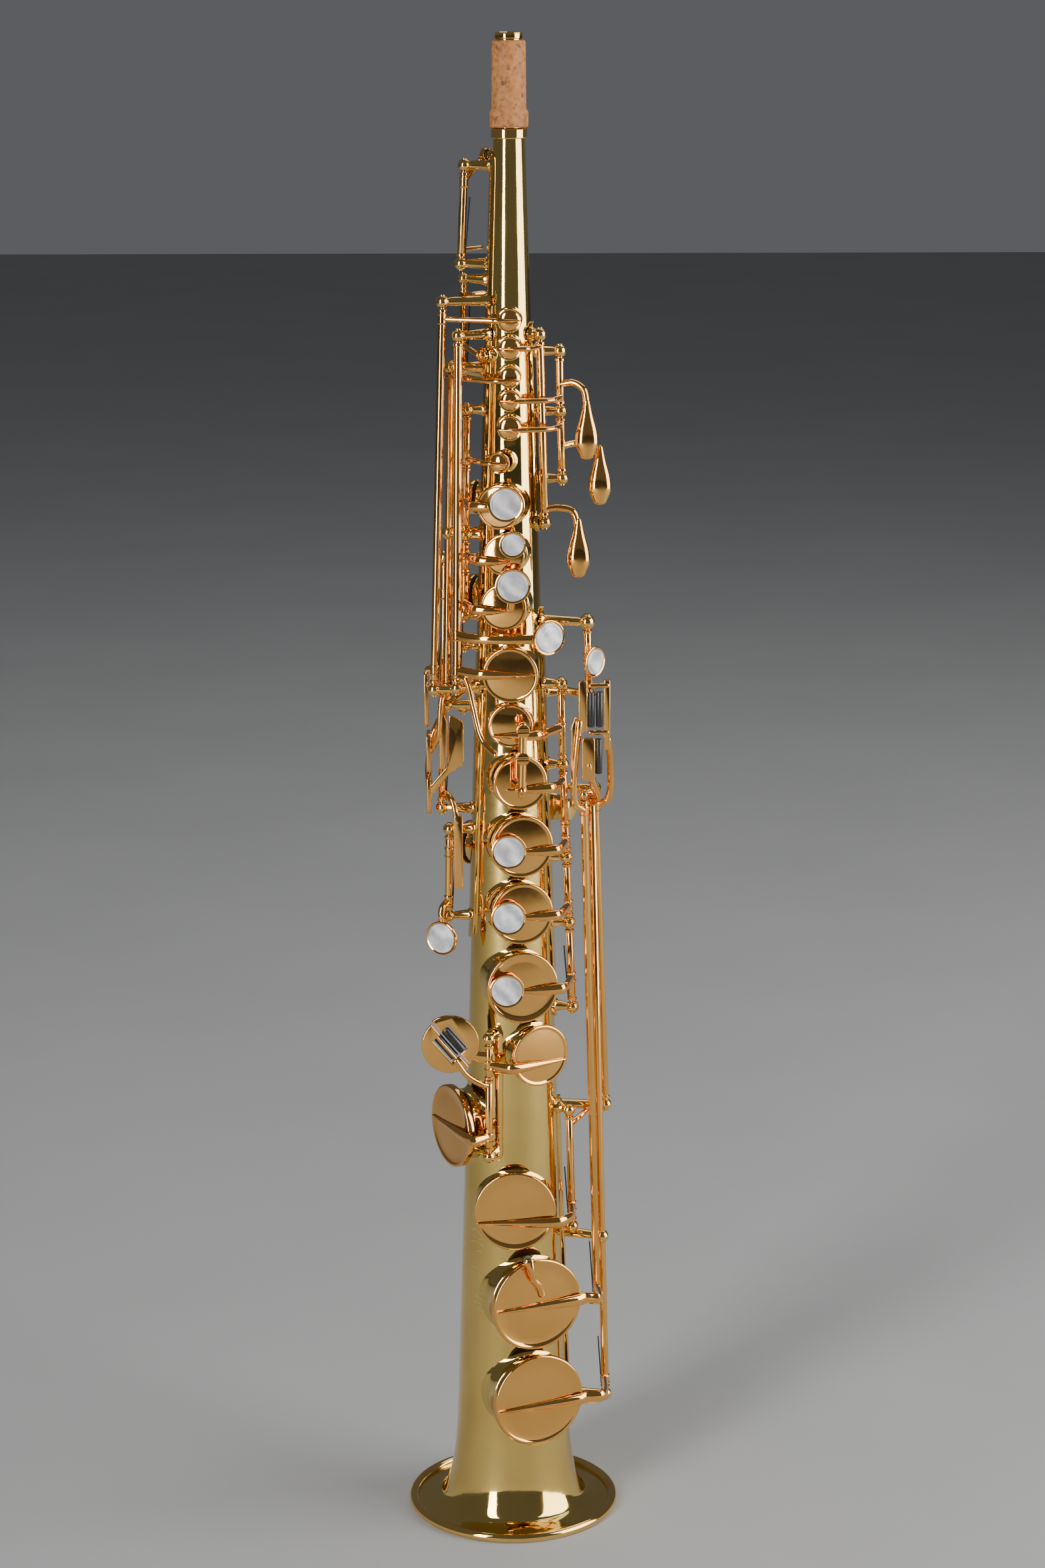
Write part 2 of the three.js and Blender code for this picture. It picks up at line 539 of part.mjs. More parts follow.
const KEYS = {
  high_f_sharp_key: () => join([
    hinge(LINES.high_f_sharp, 532.7 - STEP_DOWN, 371 + STEP_DOWN),
    cupArm(HOLES.high_f_sharp, LINES.high_f_sharp, -1, { z: 525.7 }),
    strut([[-31.9, -8, 379.5], [-34.6, -4, 379], [-35.6, 1, 375]], 1.2),
    block([-36.4, -3.5, 353.4], [-34.6, 7.5, 377.5]),
  ]),
  high_e_key: () => join([
    hinge(LINES.high_e, 505.4 - STEP_DOWN, 363.3 + STEP_DOWN),
    cupArm(HOLES.high_e, LINES.high_e, -1, { z: 501.2, bend: [[-16, -9]] }),
    strut([[-27, -3, 370.5], [-29, -6.3, 366.5], [-29.8, -7, 358],
      [-30.5, -6.5, 350], [-34, -3, 343]], 1.2),
    block([-35.6, -6, 334.3], [-33.8, 5.5, 351.1]),
  ]),
  side_c_key: () => join([
    hinge(LINES.side_c, 470 - STEP_DOWN, 361.6 + STEP_DOWN),
    cupArm(HOLES.side_c, LINES.side_c, -1),
    strut([[-10.4, 21.4, 369], [-24, 16, 362], [-33, 10, 348], [-35.2, 8.6, 334], [-34.8, 4, 326]], 1.2, 6),
    block([-35.6, -6, 316.1], [-33.8, 5.5, 332.8]),
  ]),
  side_b_flat_key: () => join([
    hinge(LINES.side_b_flat, 425 - STEP_DOWN, 318 + STEP_DOWN),
    cupArm(HOLES.side_b_flat, LINES.side_b_flat, 1, { reach: -5 }),
    strut([[-29.2, 0.2, 323], [-27.4, -5, 325.4], [-24.4, -9, 322], [-22.8, -10, 314]], 1.3),
    block([-24, -11.2, 284.7], [-20.6, -9, 317.3]),
  ]),
  upper_octave_key: () => join([
    hinge(LINES.upper_octave, 587 - STEP_DOWN, 547.2 + STEP_DOWN),
    cup(HOLES.upper_octave),
    strut([[-18.4, 3, 580], [-15.5, 6, 584], [-12, 7.5, 588.5], [-9.8, 6, 590.8]], 1.1),
    strut([[-19.8, 3, 552.8], [-16, 8, 552.8], [-11.8, 13.2, 552.8]], 1.1),
  ]),
  lower_octave_key: () => join([
    hinge(LINES.lower_octave, 541 - 2.6, 503 + 2.6, 1.3),
    cup(HOLES.lower_octave),
    strut([[-19.1, 4.5, 514], [-16.6, -3, 513], [-12.9, -8.8, 511]], 1.1),
    strut([[-18.9, 4.5, 534], [-15, 10, 534], [-10.6, 14.4, 534]], 1.1),
  ]),
  octave_lever: () => join([
    hinge(LINES.octave_lever, 541 - STEP_DOWN, 470 + STEP_DOWN),
    strut([[5.4, 21, 480], [3, 23.6, 479.5], [-2, 24.4, 479]], 1.5),
    block([-8, 23.4, 472], [0, 25.4, 486]),
  ]),
  palm_f_key: () => join([
    hinge(LINES.palm_f, 519.2 - STEP_DOWN, 441.5 + STEP_DOWN),
    cupArm(HOLES.palm_f, LINES.palm_f, 1),
    strut([[14.3, -6.3, 447], [20, -6.6, 447], [26, -7, 445], [28.3, -8, 437]], 1.3),
    teardrop([28.3, -8, 430.3], 4.7, 12, 3.2),
  ]),
  palm_e_flat_key: () => join([
    hinge(LINES.palm_e_flat, 511.7 - STEP_DOWN, 486.9 + STEP_DOWN),
    cupArm(HOLES.palm_e_flat, LINES.palm_e_flat, 1, { bend: [[17.5, -12]] }),
    strut([[20.7, 0, 498], [26, -2, 498], [30.5, -4, 495], [31.7, -4.6, 486]], 1.3),
    teardrop([31.7, -5, 479.2], 4.7, 12, 2.8),
  ]),
  palm_d_key: () => join([
    hinge(LINES.palm_d, 486.9 - STEP_DOWN, 458.9 + STEP_DOWN),
    cupArm(HOLES.palm_d, LINES.palm_d, 1, { z: 481.2, bend: [[17.5, -12]] }),
    strut([[21.2, 0, 472], [26, 4.6, 472], [33, 5, 471.5], [37, 2.4, 466]], 1.3),
    teardrop([37.3, 1.5, 459.2], 4.7, 12, 2.8),
  ]),
  vent_key: () => join([
    swungOpen(HOLES.vent, LINES.left_stack, join([
      hinge(LINES.left_stack, 488 - STEP_DOWN, 464.2),
      cupArm(HOLES.vent, LINES.left_stack, -1, { z: 467.8 }),
    ])),
  ]),
  b_key: () => join([
    swungOpen(HOLES.b, LINES.left_stack, join([
      hinge(LINES.left_stack, 463.9, 435.8 + STEP_DOWN),
      cupArm(HOLES.b, LINES.left_stack, -1, { z: 449.8 }),
    ])),
    dish("b", 3.2),
  ]),
  bis_key: () => join([
    swungOpen(HOLES.bis, LINES.left_stack, join([
      hinge(LINES.left_stack, 435.8 - STEP_DOWN, 420.4),
      cupArm(HOLES.bis, LINES.left_stack, -1, { z: 427.5 }),
    ])),
    dish("bis", 1.2),
  ]),
  a_key: () => join([
    swungOpen(HOLES.a, LINES.left_stack, join([
      hinge(LINES.left_stack, 420.1, 402 + STEP_DOWN),
      cupArm(HOLES.a, LINES.left_stack, -1, { z: 407 }),
    ])),
    strut([[0.2, -22.6, 409], [0.8, -23.4, 413], [1.1, -23.4, 418.2]], 1.5),
    dish("a"),
  ]),
  g_key: () => join([
    swungOpen(HOLES.g, LINES.g, join([
      hinge(LINES.g, 519.1 - STEP_DOWN, 372.9 + STEP_DOWN, 1.8),
      cupArm(HOLES.g, LINES.g, -1, { z: 380.2 }),
      arm(395.2, [[-22.3, -13.4], [-9, -21.2], [8.9, -19.6], [15.4, -17.4]], 2.6),
      strut([[-22.4, -13.9, 378], [-18, -17, 377], [-15, -18, 366], [-11, -22, 353], [-4.6, -27, 347.6]], 1.3),
    ])),
    dish("g"),
  ]),
  g_sharp_cup_key: () => join([
    hinge(LINES.g_sharp, 372.7 - STEP_DOWN, 338 + STEP_DOWN),
    cupArm(HOLES.g_sharp, LINES.g_sharp, 1, { z: 354 }),
  ]),
  g_sharp_lever: () => join([
    hinge(LINES.g_sharp_lever, 399.7 - 3.5, 368 + STEP_DOWN),
    arm(384, [[32.5, -7], [34.2, -12.4]], 4),
    dish("g_sharp"),
  ]),
  f_sharp_key: () => swungOpen(HOLES.f_sharp, LINES.right_stack, join([
    hinge(LINES.right_stack, 338 - STEP_DOWN, 312.3),
    cupArm(HOLES.f_sharp, LINES.right_stack, 1, { z: 331.5 }),
    rod([2.1, -20, 333], [1.2, -32, 333.6], 2.2),
    rod([1.0, -31, 331.5], [1.6, -31, 361], 1.8),
    rod([1.5, -33.4, 359.1], [1.5, -29.6, 359.1], 2.8, 10),
    rod([1.3, -33.4, 347.4], [1.3, -29.6, 347.4], 2.8, 10),
  ])),
  f_key: () => join([
    swungOpen(HOLES.f, LINES.right_stack, join([
      hinge(LINES.right_stack, 312, 297.6 + STEP_DOWN),
      cupArm(HOLES.f, LINES.right_stack, 1, { z: 304.8 }),
    ])),
    dish("f"),
  ]),
  e_key: () => join([
    swungOpen(HOLES.e, LINES.right_stack, join([
      hinge(LINES.right_stack, 297.6 - STEP_DOWN, 268.8 + STEP_DOWN),
      cupArm(HOLES.e, LINES.right_stack, 1, { z: 276.6 }),
    ])),
    dish("e"),
  ]),
  d_key: () => join([
    swungOpen(HOLES.d, LINES.right_stack, join([
      hinge(LINES.right_stack, 268.8 - STEP_DOWN, 231.4 + STEP_DOWN),
      cupArm(HOLES.d, LINES.right_stack, 1, { z: 244.6 }),
    ])),
    dish("d"),
  ]),
  trill_f_sharp_key: () => join([
    hinge(LINES.trill_f_sharp, 310.1 - STEP_DOWN, 272 + STEP_DOWN),
    cupArm(HOLES.trill_f_sharp, LINES.trill_f_sharp, 1, { reach: 1.5 }),
    strut([[-26.7, -6, 279], [-29.5, -9.5, 276], [-29.6, -10.2, 268]], 1.3),
    dish("trill"),
  ]),
  e_flat_key: () => join([
    hinge(LINES.pinky, 222.6 - STEP_DOWN, 204.8),
    cupArm(HOLES.e_flat, LINES.pinky, -1, { z: 211, reach: 2 }),
    arm(214, [[-9.7, -23.8], [-18.5, -24.8]], 3.2),
    pinkyHalf(1),
  ]),
  low_c_key: () => join([
    swungOpen(HOLES.low_c, LINES.pinky, join([
      hinge(LINES.pinky, 204.5, 170.5 + STEP_DOWN),
      cupArm(HOLES.low_c, LINES.pinky, 1, { z: 179.1, reach: 2.4, bend: [[-17, -31.2]] }),
      strut([[-9.7, -24.4, 202], [-13, -25.4, 203], [-19, -25.6, 207], [-24, -25.6, 214]], 1.4),
      pinkyHalf(-1),
    ])),
  ]),
  low_c_sharp_key: () => join([
    hinge(LINES.low_c_sharp, 184.7 - STEP_DOWN, 131.4 + STEP_DOWN),
    cupArm(HOLES.low_c_sharp, LINES.low_c_sharp, 1, { z: 141, bend: [[25.2, -20]] }),
    strut([[24.9, -6, 178], [29, -2, 180], [34, 5.5, 182]], 1.3),
  ]),
  low_c_sharp_lever: () => join([
    hinge(LINES.low_c_sharp_lever, 326 - STEP_DOWN, 184.1 + STEP_DOWN),
    strut([[36.2, 1.8, 318], [41.5, 1, 322], [42, -3, 338], [40.6, -11.4, 352]], 1.4),
    block([39, -13.2, 346], [41.6, -10.6, 376]),
    strut([[40.4, 3, 190], [38.4, 6.8, 188], [36, 8.4, 186]], 1.3),
  ]),
  low_b_key: () => join([
    swungOpen(HOLES.low_b, LINES.low_b, join([
      hinge(LINES.low_b, 326 - 2.6, 97.6 + 2.6),
      cupArm(HOLES.low_b, LINES.low_b, 1, { z: 103.6, reach: 2, bend: [[36.2, -21]] }),
      strut([[30.8, -9.6, 319], [26.8, -12.6, 323], [26.4, -13.6, 336], [28.4, -13.9, 358]], 1.4),
      block([28, -14.8, 354], [31.6, -13.2, 376]),
    ])),
  ]),
  low_b_flat_key: () => join([
    swungOpen(HOLES.low_b_flat, LINES.low_b_flat, join([
      hinge(LINES.low_b_flat, 326 - 2.6, 51 + STEP_DOWN),
      cupArm(HOLES.low_b_flat, LINES.low_b_flat, 1, { z: 58, reach: 1.2, bend: [[38.2, -20]] }),
      strut([[34.2, -5.6, 321], [36.4, -9.5, 325], [33.6, -14.6, 333], [32, -15.6, 340]], 1.4),
      block([29, -16.8, 333.5], [34.4, -15, 352]),
    ])),
  ]),
};

// ---- rollers, pads and small parts ----------------------------------------------------------
const TABLE_ROLLERS = {
  upper_left_roller: [[33.6, -13.6, 356], [33.6, -13.6, 371]],
  upper_right_roller: [[37.1, -13.2, 356], [37.1, -13.2, 371]],
  lower_roller: [[36.8, -13.6, 336], [36.8, -13.6, 351]],
};

function thumbHook() {
  const plate = strip(160, 186, 296, 326).add(block([-2, 16.8, 300], [2, 21, 320]));
  const curl = strut([[0, 20, 312], [9, 25.5, 312], [18, 25, 312], [24, 20, 312]], 3, 8);
  const tip = rod([22, 21, 312], [25.4, 17.6, 312], 4.4, 12);
  return join([plate, curl, tip]);
}

function thumbRest() {
  const disc = turned([[0, 0], [2.4, 0], [2.4, 1.2], [7, 1.2], [7, 2.2], [5.6, 3.2], [0, 3.2]], 16);
  return strip(158, 186, 431, 449).add(solid(aimed(disc, onBody(174, 440, 0.8), outward(174))));
}

function strapRing() {
  const ring = turned([[4.2, -1.2], [6.4, -1.2], [6.4, 1.2], [4.2, 1.2], [4.2, -1.2]], 16);
  ring.rotateY(Math.PI / 2);
  ring.translate(1.5, tubeRadius(352) + 8, 352);
  return strip(162, 185, 342, 362).add(solid(ring)).add(rod([1.5, 15, 352], [1.5, 17.6, 352], 1.8));
}

// ---- materials ------------------------------------------------------------------------------
const FINISHES = {
  body_lacquer: { color: 0xd8b45a, roughness: 0.18, metalness: 1 },
  key_lacquer: { color: 0xd99a4e, roughness: 0.2, metalness: 1 },
  mother_of_pearl: { color: 0xd9dbe0, roughness: 0.3, metalness: 0 },
  black_roller: { color: 0x141414, roughness: 0.35, metalness: 0 },
  cork: { color: 0xb5713a, roughness: 0.9, metalness: 0 },
  pad_leather: { color: 0x6d3f22, roughness: 0.8, metalness: 0 },
};

const saxophone = new THREE.Group();

function place(name, manifold, finish) {
  const mesh = new THREE.Mesh(geometryOf(manifold), new THREE.MeshStandardMaterial(FINISHES[finish]));
  mesh.name = name;
  saxophone.add(mesh);
}

place("body_tube", bodyTube(), "body_lacquer");
place("bell", bell(), "body_lacquer");
place("bell_rim", bellRim(), "body_lacquer");
place("neck_sleeve", neckSleeve(), "body_lacquer");
place("neck_cork", neckCork(), "cork");
place("thumb_hook", thumbHook(), "body_lacquer");
place("thumb_rest", thumbRest(), "body_lacquer");
place("strap_ring", strapRing(), "body_lacquer");
Object.entries(RIBS).forEach(([name, spec]) => place(name, rib(spec), "body_lacquer"));
Object.entries(KEYS).forEach(([name, build]) => place(name, build(), "key_lacquer"));
Object.entries(PEARLS).forEach(([name, { at, az, radius }]) => {
  place(`${name}_pearl`, pearl(at, az, radius), "mother_of_pearl");
});
place("e_flat_roller", pinkyRoller(1), "black_roller");
place("low_c_roller", pinkyRoller(-1), "black_roller");
Object.entries(TABLE_ROLLERS).forEach(([name, [low, high]]) => {
  place(name, rod(low, high, TABLE_ROLLER_RADIUS, 10), "black_roller");
});
Object.entries(HOLES).filter(([, hole]) => hole.pad).forEach(([name, hole]) => {
  const face = padFace(hole);
  const pad = discOver(hole, hole.r - 1.2, face, face + PAD - GAP);
  const line = name === "low_c" ? LINES.pinky : LINES[name];
  place(`${name}_pad`, swungOpen(hole, line, pad), "pad_leather");
});

export default saxophone;
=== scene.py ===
"""Soprano saxophone in lacquered brass, standing on its bell.

Lengths are millimetres until a mesh is made, +Z runs up the bore and -Y is the side with the pearls.
"""

from __future__ import annotations

import logging
import math
from collections.abc import Sequence
from dataclasses import dataclass, field
from enum import Enum

import bmesh
import bpy
from mathutils import Matrix, Vector


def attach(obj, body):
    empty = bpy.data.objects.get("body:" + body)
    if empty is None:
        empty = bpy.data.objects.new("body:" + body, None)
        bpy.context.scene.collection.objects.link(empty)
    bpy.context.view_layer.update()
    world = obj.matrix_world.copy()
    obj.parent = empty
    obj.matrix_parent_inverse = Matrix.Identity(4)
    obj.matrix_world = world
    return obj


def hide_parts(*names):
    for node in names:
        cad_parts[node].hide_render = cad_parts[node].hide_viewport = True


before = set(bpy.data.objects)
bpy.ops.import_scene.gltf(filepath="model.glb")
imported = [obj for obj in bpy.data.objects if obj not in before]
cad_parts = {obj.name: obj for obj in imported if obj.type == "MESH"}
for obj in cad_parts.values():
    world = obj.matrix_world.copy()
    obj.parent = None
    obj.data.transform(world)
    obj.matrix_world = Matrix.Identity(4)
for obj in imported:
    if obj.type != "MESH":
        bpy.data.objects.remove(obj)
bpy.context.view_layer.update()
LOG = logging.getLogger("soprano")
MM = 0.001
Point = Sequence[float]

# Driving dimensions of the bore and the key work.
CONE_Z = 100.0
CONE_RADIUS = 22.6
CONE_SLOPE = 0.0324
FLARE, FLARE_DECAY = 18.5, 8.0
LIP_FLARE, LIP_DECAY = 0.0, 1.0
BODY_FOOT, NECK_FOOT, LENGTH = 41.0, 598.0, 640.0
BELL_RADIUS, RIM_WIRE = 46.2, 2.1
WALL, GAP = 1.1, 0.3
CHIMNEY, PAD, TUBE = 2.2, 1.6, 1.6
OPEN_LIFT = 2.8
PEARL_RADIUS = 6.4
SMALL_CUP = 6.0
SHARP_EDGE = math.radians(34)


class Body(Enum):
    """The bodies that are not keys."""

    ROOT = "saxophone_body"


def tube_radius(z: float) -> float:
    """Outside radius of the body at a height."""
    return CONE_RADIUS + (CONE_Z - z) * CONE_SLOPE + FLARE * math.exp(-z / FLARE_DECAY)


def outward(azimuth: float) -> Vector:
    """Level direction at an azimuth, which is 0 at the front and grows to the right."""
    turn = math.radians(azimuth)
    return Vector((math.sin(turn), -math.cos(turn), 0.0))


def on_body(azimuth: float, z: float, height: float) -> Vector:
    """Point over the body's surface."""
    point = outward(azimuth) * (tube_radius(z) + height)
    point.z = z
    return point


def aim(place: Point, direction: Point, up: Point = (0, 0, 1)) -> Matrix:
    """Matrix that turns +Z to a direction, keeps +Y near up, and moves to a place."""
    z_axis = Vector(direction).normalized()
    x_axis = Vector(up).cross(z_axis)
    if x_axis.length < 1e-6:
        x_axis = Vector((1, 0, 0))
    x_axis.normalize()
    y_axis = z_axis.cross(x_axis)
    matrix = Matrix((x_axis, y_axis, z_axis)).transposed().to_4x4()
    matrix.translation = Vector(place)
    return matrix


# ---- closed forms ---------------------------------------------------------------------------
class Form:
    """Closed shells in millimetres that become one mesh."""

    def __init__(self) -> None:
        """Starts with no shells."""
        self.points: list[Vector] = []
        self.faces: list[tuple[int, ...]] = []

    def add(self, *others: "Form") -> "Form":
        """Takes in other forms' shells and returns itself."""
        for other in others:
            first = len(self.points)
            self.points += [point.copy() for point in other.points]
            self.faces += [tuple(first + i for i in face) for face in other.faces]
        return self

    def moved(self, matrix: Matrix) -> "Form":
        """Returns a copy with each point moved by a matrix."""
        copy = Form()
        copy.points = [matrix @ point for point in self.points]
        copy.faces = list(self.faces)
        return copy

    def ring(self, points: Sequence[Vector]) -> list[int]:
        """Adds a ring of points and returns their numbers."""
        first = len(self.points)
        self.points += list(points)
        return list(range(first, first + len(points)))

    def bridge(self, low: Sequence[int], high: Sequence[int]) -> None:
        """Joins two rings, either of which may be a single pole."""
        count = max(len(low), len(high))
        for i in range(count):
            j = (i + 1) % count
            corners = (low[i % len(low)], low[j % len(low)], high[j % len(high)], high[i % len(high)])
            face = tuple(dict.fromkeys(corners))
            if len(face) > 2:
                self.faces.append(face)

    def mesh(self, name: str) -> bpy.types.Mesh:
        """Makes a mesh in metres with its faces outwards and its edges sharp where they should be.

        Args:
            name: the mesh's name.

        Returns:
            The finished mesh.
        """
        mesh = bpy.data.meshes.new(name)
        mesh.from_pydata([point * MM for point in self.points], [], self.faces)
        work = bmesh.new()
        work.from_mesh(mesh)
        bmesh.ops.remove_doubles(work, verts=work.verts, dist=1e-7)
        bmesh.ops.recalc_face_normals(work, faces=work.faces)
        work.to_mesh(mesh)
        work.free()
        smooth(mesh)
        return mesh


def smooth(mesh: bpy.types.Mesh, angle: float = SHARP_EDGE) -> None:
    """Shades a mesh smooth, with sharp edges where its faces turn by more than an angle."""
    mesh.polygons.foreach_set("use_smooth", [True] * len(mesh.polygons))
    mesh.set_sharp_from_angle(angle=angle)


def lathe(profile: Sequence[tuple[float, float]], sides: int = 40, closed: bool = False) -> Form:
    """Turns (radius, height) points about Z.

    Args:
        profile: the points, on the axis at both ends unless the profile is a closed loop.
        sides: points round each ring.
        closed: joins the last point to the first.

    Returns:
        The turned form.
    """
    form = Form()
    rings = []
    for radius, height in profile:
        if radius < 1e-6:
            rings.append(form.ring([Vector((0, 0, height))]))
            continue
        turns = [math.tau * i / sides for i in range(sides)]
        rings.append(form.ring([Vector((radius * math.cos(t), radius * math.sin(t), height)) for t in turns]))
    pairs = list(zip(rings, rings[1:]))
    if closed:
        pairs.append((rings[-1], rings[0]))
    for low, high in pairs:
        form.bridge(low, high)
    return form


def rod(start: Point, end: Point, radius: float, sides: int = 20, rounding: float = 0.25) -> Form:
    """A round bar between two points with softened ends."""
    line = Vector(end) - Vector(start)
    length, ease = line.length, min(rounding, radius * 0.6)
    profile = [(0, 0), (radius - ease, 0), (radius - ease * 0.3, ease * 0.3), (radius, ease)]
    profile += [(r, length - z) for r, z in reversed(profile)]
    up = (0, 1, 0) if abs(line.normalized().z) > 0.9 else (0, 0, 1)
    return lathe(profile, sides).moved(aim(start, line, up))


def eased(rows: Sequence[Sequence[float]], steps: int) -> list[list[float]]:
    """Runs a smooth curve through rows of numbers, the first three of which are a point.

    Args:
        rows: the rows to pass through.
        steps: new rows for each span.

    Returns:
        The rows along the curve.
    """
    spans = [max((Vector(b[:3]) - Vector(a[:3])).length, 1e-6) for a, b in zip(rows, rows[1:])]
    width = len(rows[0])
    slopes = []
    for i in range(len(rows)):
        before, after = max(i - 1, 0), min(i + 1, len(rows) - 1)
        run = sum(spans[before:after])
        slopes.append([(rows[after][k] - rows[before][k]) / run for k in range(width)])
    out = []
    for i, run in enumerate(spans):
        for step in range(steps):
            t = step / steps
            h00, h10 = (1 + 2 * t) * (1 - t) ** 2, t * (1 - t) ** 2
            h01, h11 = t * t * (3 - 2 * t), t * t * (t - 1)
            out.append([
                h00 * rows[i][k] + h10 * run * slopes[i][k]
                + h01 * rows[i + 1][k] + h11 * run * slopes[i + 1][k]
                for k in range(width)
            ])
    out.append(list(rows[-1]))
    return out


def sweep(
    path: Sequence[Point],
    sizes: Sequence[tuple[float, float]],
    up: Point = (0, 0, 1),
    sides: int = 16,
    steps: int = 7,
    power: float = 2.3,
) -> Form:
    """A bar along a smooth path, rounded at both ends.

    Args:
        path: points that the bar's middle passes through.
        sizes: half width across up and half height along up, at each point.
        up: direction that the section's height keeps near.
        sides: points round the section.
        steps: rings for each span of the path.
        power: 2 gives an ellipse and more gives a squarer section.

    Returns:
        The bar.
    """
    rows = eased([[*point, *size] for point, size in zip(path, sizes)], steps)
    middles = [Vector(row[:3]) for row in rows]
    form = Form()
    rings: list[list[int]] = []

    def section(centre: Vector, along: Vector, wide: float, tall: float) -> None:
        """Adds one ring of the strip, square to its path."""
        across = along.cross(Vector(up)).normalized()
        over = across.cross(along).normalized()
        points = []
        for i in range(sides):
            turn = math.tau * i / sides
            c, s = math.cos(turn), math.sin(turn)
            x = math.copysign(abs(c) ** (2 / power), c) * max(wide, 0.02)
            y = math.copysign(abs(s) ** (2 / power), s) * max(tall, 0.02)
            points.append(centre + across * x + over * y)
        rings.append(form.ring(points))

    last = len(rows) - 1
    for i, row in enumerate(rows):
        along = (middles[min(i + 1, last)] - middles[max(i - 1, 0)]).normalized()
        wide, tall = row[3], row[4]
        ease = min(abs(wide), abs(tall))
        caps = [(80, 0), (50, 0), (25, 0)]
        if i == 0:
            rings.append(form.ring([middles[0] - along * ease]))
            for degrees, _ in caps:
                turn = math.radians(degrees)
                shrink = math.cos(turn)
                section(middles[0] - along * ease * math.sin(turn), along, wide * shrink, tall * shrink)
        section(middles[i], along, wide, tall)
        if i == last:
            for degrees, _ in reversed(caps):
                turn = math.radians(degrees)
                shrink = math.cos(turn)
                section(middles[i] + along * ease * math.sin(turn), along, wide * shrink, tall * shrink)
            rings.append(form.ring([middles[i] + along * ease]))
    for low, high in zip(rings, rings[1:]):
        form.bridge(low, high)
    return form


def rounded(corners: Sequence[tuple[float, float]], radius: float, steps: int = 5) -> list[Vector]:
    """Rounds the corners of a flat outline.

    Args:
        corners: the outline's corners in order.
        radius: how far along each side the rounding starts.
        steps: points on each corner.

    Returns:
        The rounded outline.
    """
    outline = []
    count = len(corners)
    for i in range(count):
        here = Vector(corners[i]).to_3d()
        before = Vector(corners[i - 1]).to_3d() - here
        after = Vector(corners[(i + 1) % count]).to_3d() - here
        start = here + before.normalized() * min(radius, before.length * 0.48)
        end = here + after.normalized() * min(radius, after.length * 0.48)
        for step in range(steps + 1):
            t = step / steps
            outline.append(start * (1 - t) ** 2 + here * 2 * t * (1 - t) + end * t * t)
    return outline


def plate(outline: Sequence[Vector], thick: float, matrix: Matrix, edge: float = 0.35) -> Form:
    """A flat plate with rounded edges.

    Args:
        outline: the plate's outline, in its own plane.
        thick: its thickness, half on each side of that plane.
        matrix: puts the plate in place.
        edge: radius of its edges.

    Returns:
        The plate.
    """
    count = len(outline)
    area = sum(outline[i - 1].cross(outline[i]).z for i in range(count))
    turn_sign = 1 if area > 0 else -1
    inward = []
    for i in range(count):
        along = (outline[(i + 1) % count] - outline[i - 1]).normalized()
        inward.append(Vector((-along.y, along.x, 0)) * turn_sign)
    edge = min(edge, thick * 0.49)
    levels = []
    for degrees in (90, 60, 30, 0):
        turn = math.radians(degrees)
        levels.append((edge * (1 - math.cos(turn)), thick / 2 - edge * (1 - math.sin(turn))))
    stations = [(inset, -height) for inset, height in levels] + [(i, h) for i, h in reversed(levels)]
    form = Form()
    rings = []
    for inset, height in stations:
        rings.append(form.ring([p + q * inset + Vector((0, 0, height)) for p, q in zip(outline, inward)]))
    for low, high in zip(rings, rings[1:]):
        form.bridge(low, high)
    form.faces += [tuple(reversed(rings[0])), tuple(rings[-1])]
    return form.moved(matrix)


# ---- node networks --------------------------------------------------------------------------
class Socket:
    """An output of a node, with sums written as expressions."""

    def __init__(self, net: "Net", raw: "bpy.types.NodeSocket | None") -> None:
        """Wraps an output socket of a network."""
        self.net = net
        self.raw = raw

    def of(self, name: str) -> "Socket":
        """Another output of the same node."""
        return Socket(self.net, self.raw.node.outputs[name])

    def _sum(self, operation: str, first: "Socket | float", second: "Socket | float") -> "Socket":
        """Adds a Math node."""
        return self.net.node("ShaderNodeMath", {0: first, 1: second}, operation=operation)

    def __add__(self, other: "Socket | float") -> "Socket":
        """Sum."""
        return self._sum("ADD", self, other)

    def __sub__(self, other: "Socket | float") -> "Socket":
        """Difference."""
        return self._sum("SUBTRACT", self, other)

    def __mul__(self, other: "Socket | float") -> "Socket":
        """Product."""
        return self._sum("MULTIPLY", self, other)

    def __truediv__(self, other: "Socket | float") -> "Socket":
        """Quotient."""
        return self._sum("DIVIDE", self, other)

    def __pow__(self, other: "Socket | float") -> "Socket":
        """Power."""
        return self._sum("POWER", self, other)

    def __radd__(self, other: float) -> "Socket":
        """Sum with the number first."""
        return self._sum("ADD", other, self)

    def __rsub__(self, other: float) -> "Socket":
        """Difference with the number first."""
        return self._sum("SUBTRACT", other, self)

    def __rmul__(self, other: float) -> "Socket":
        """Product with the number first."""
        return self._sum("MULTIPLY", other, self)

    def __rtruediv__(self, other: float) -> "Socket":
        """Quotient with the number first."""
        return self._sum("DIVIDE", other, self)

    def __neg__(self) -> "Socket":
        """Opposite."""
        return self._sum("MULTIPLY", self, -1.0)

    def over(self, other: "Socket | float") -> "Socket":
        """1 where this is greater than other, else 0."""
        return self._sum("GREATER_THAN", self, other)

    def under(self, other: "Socket | float") -> "Socket":
        """1 where this is less than other, else 0."""
        return self._sum("LESS_THAN", self, other)


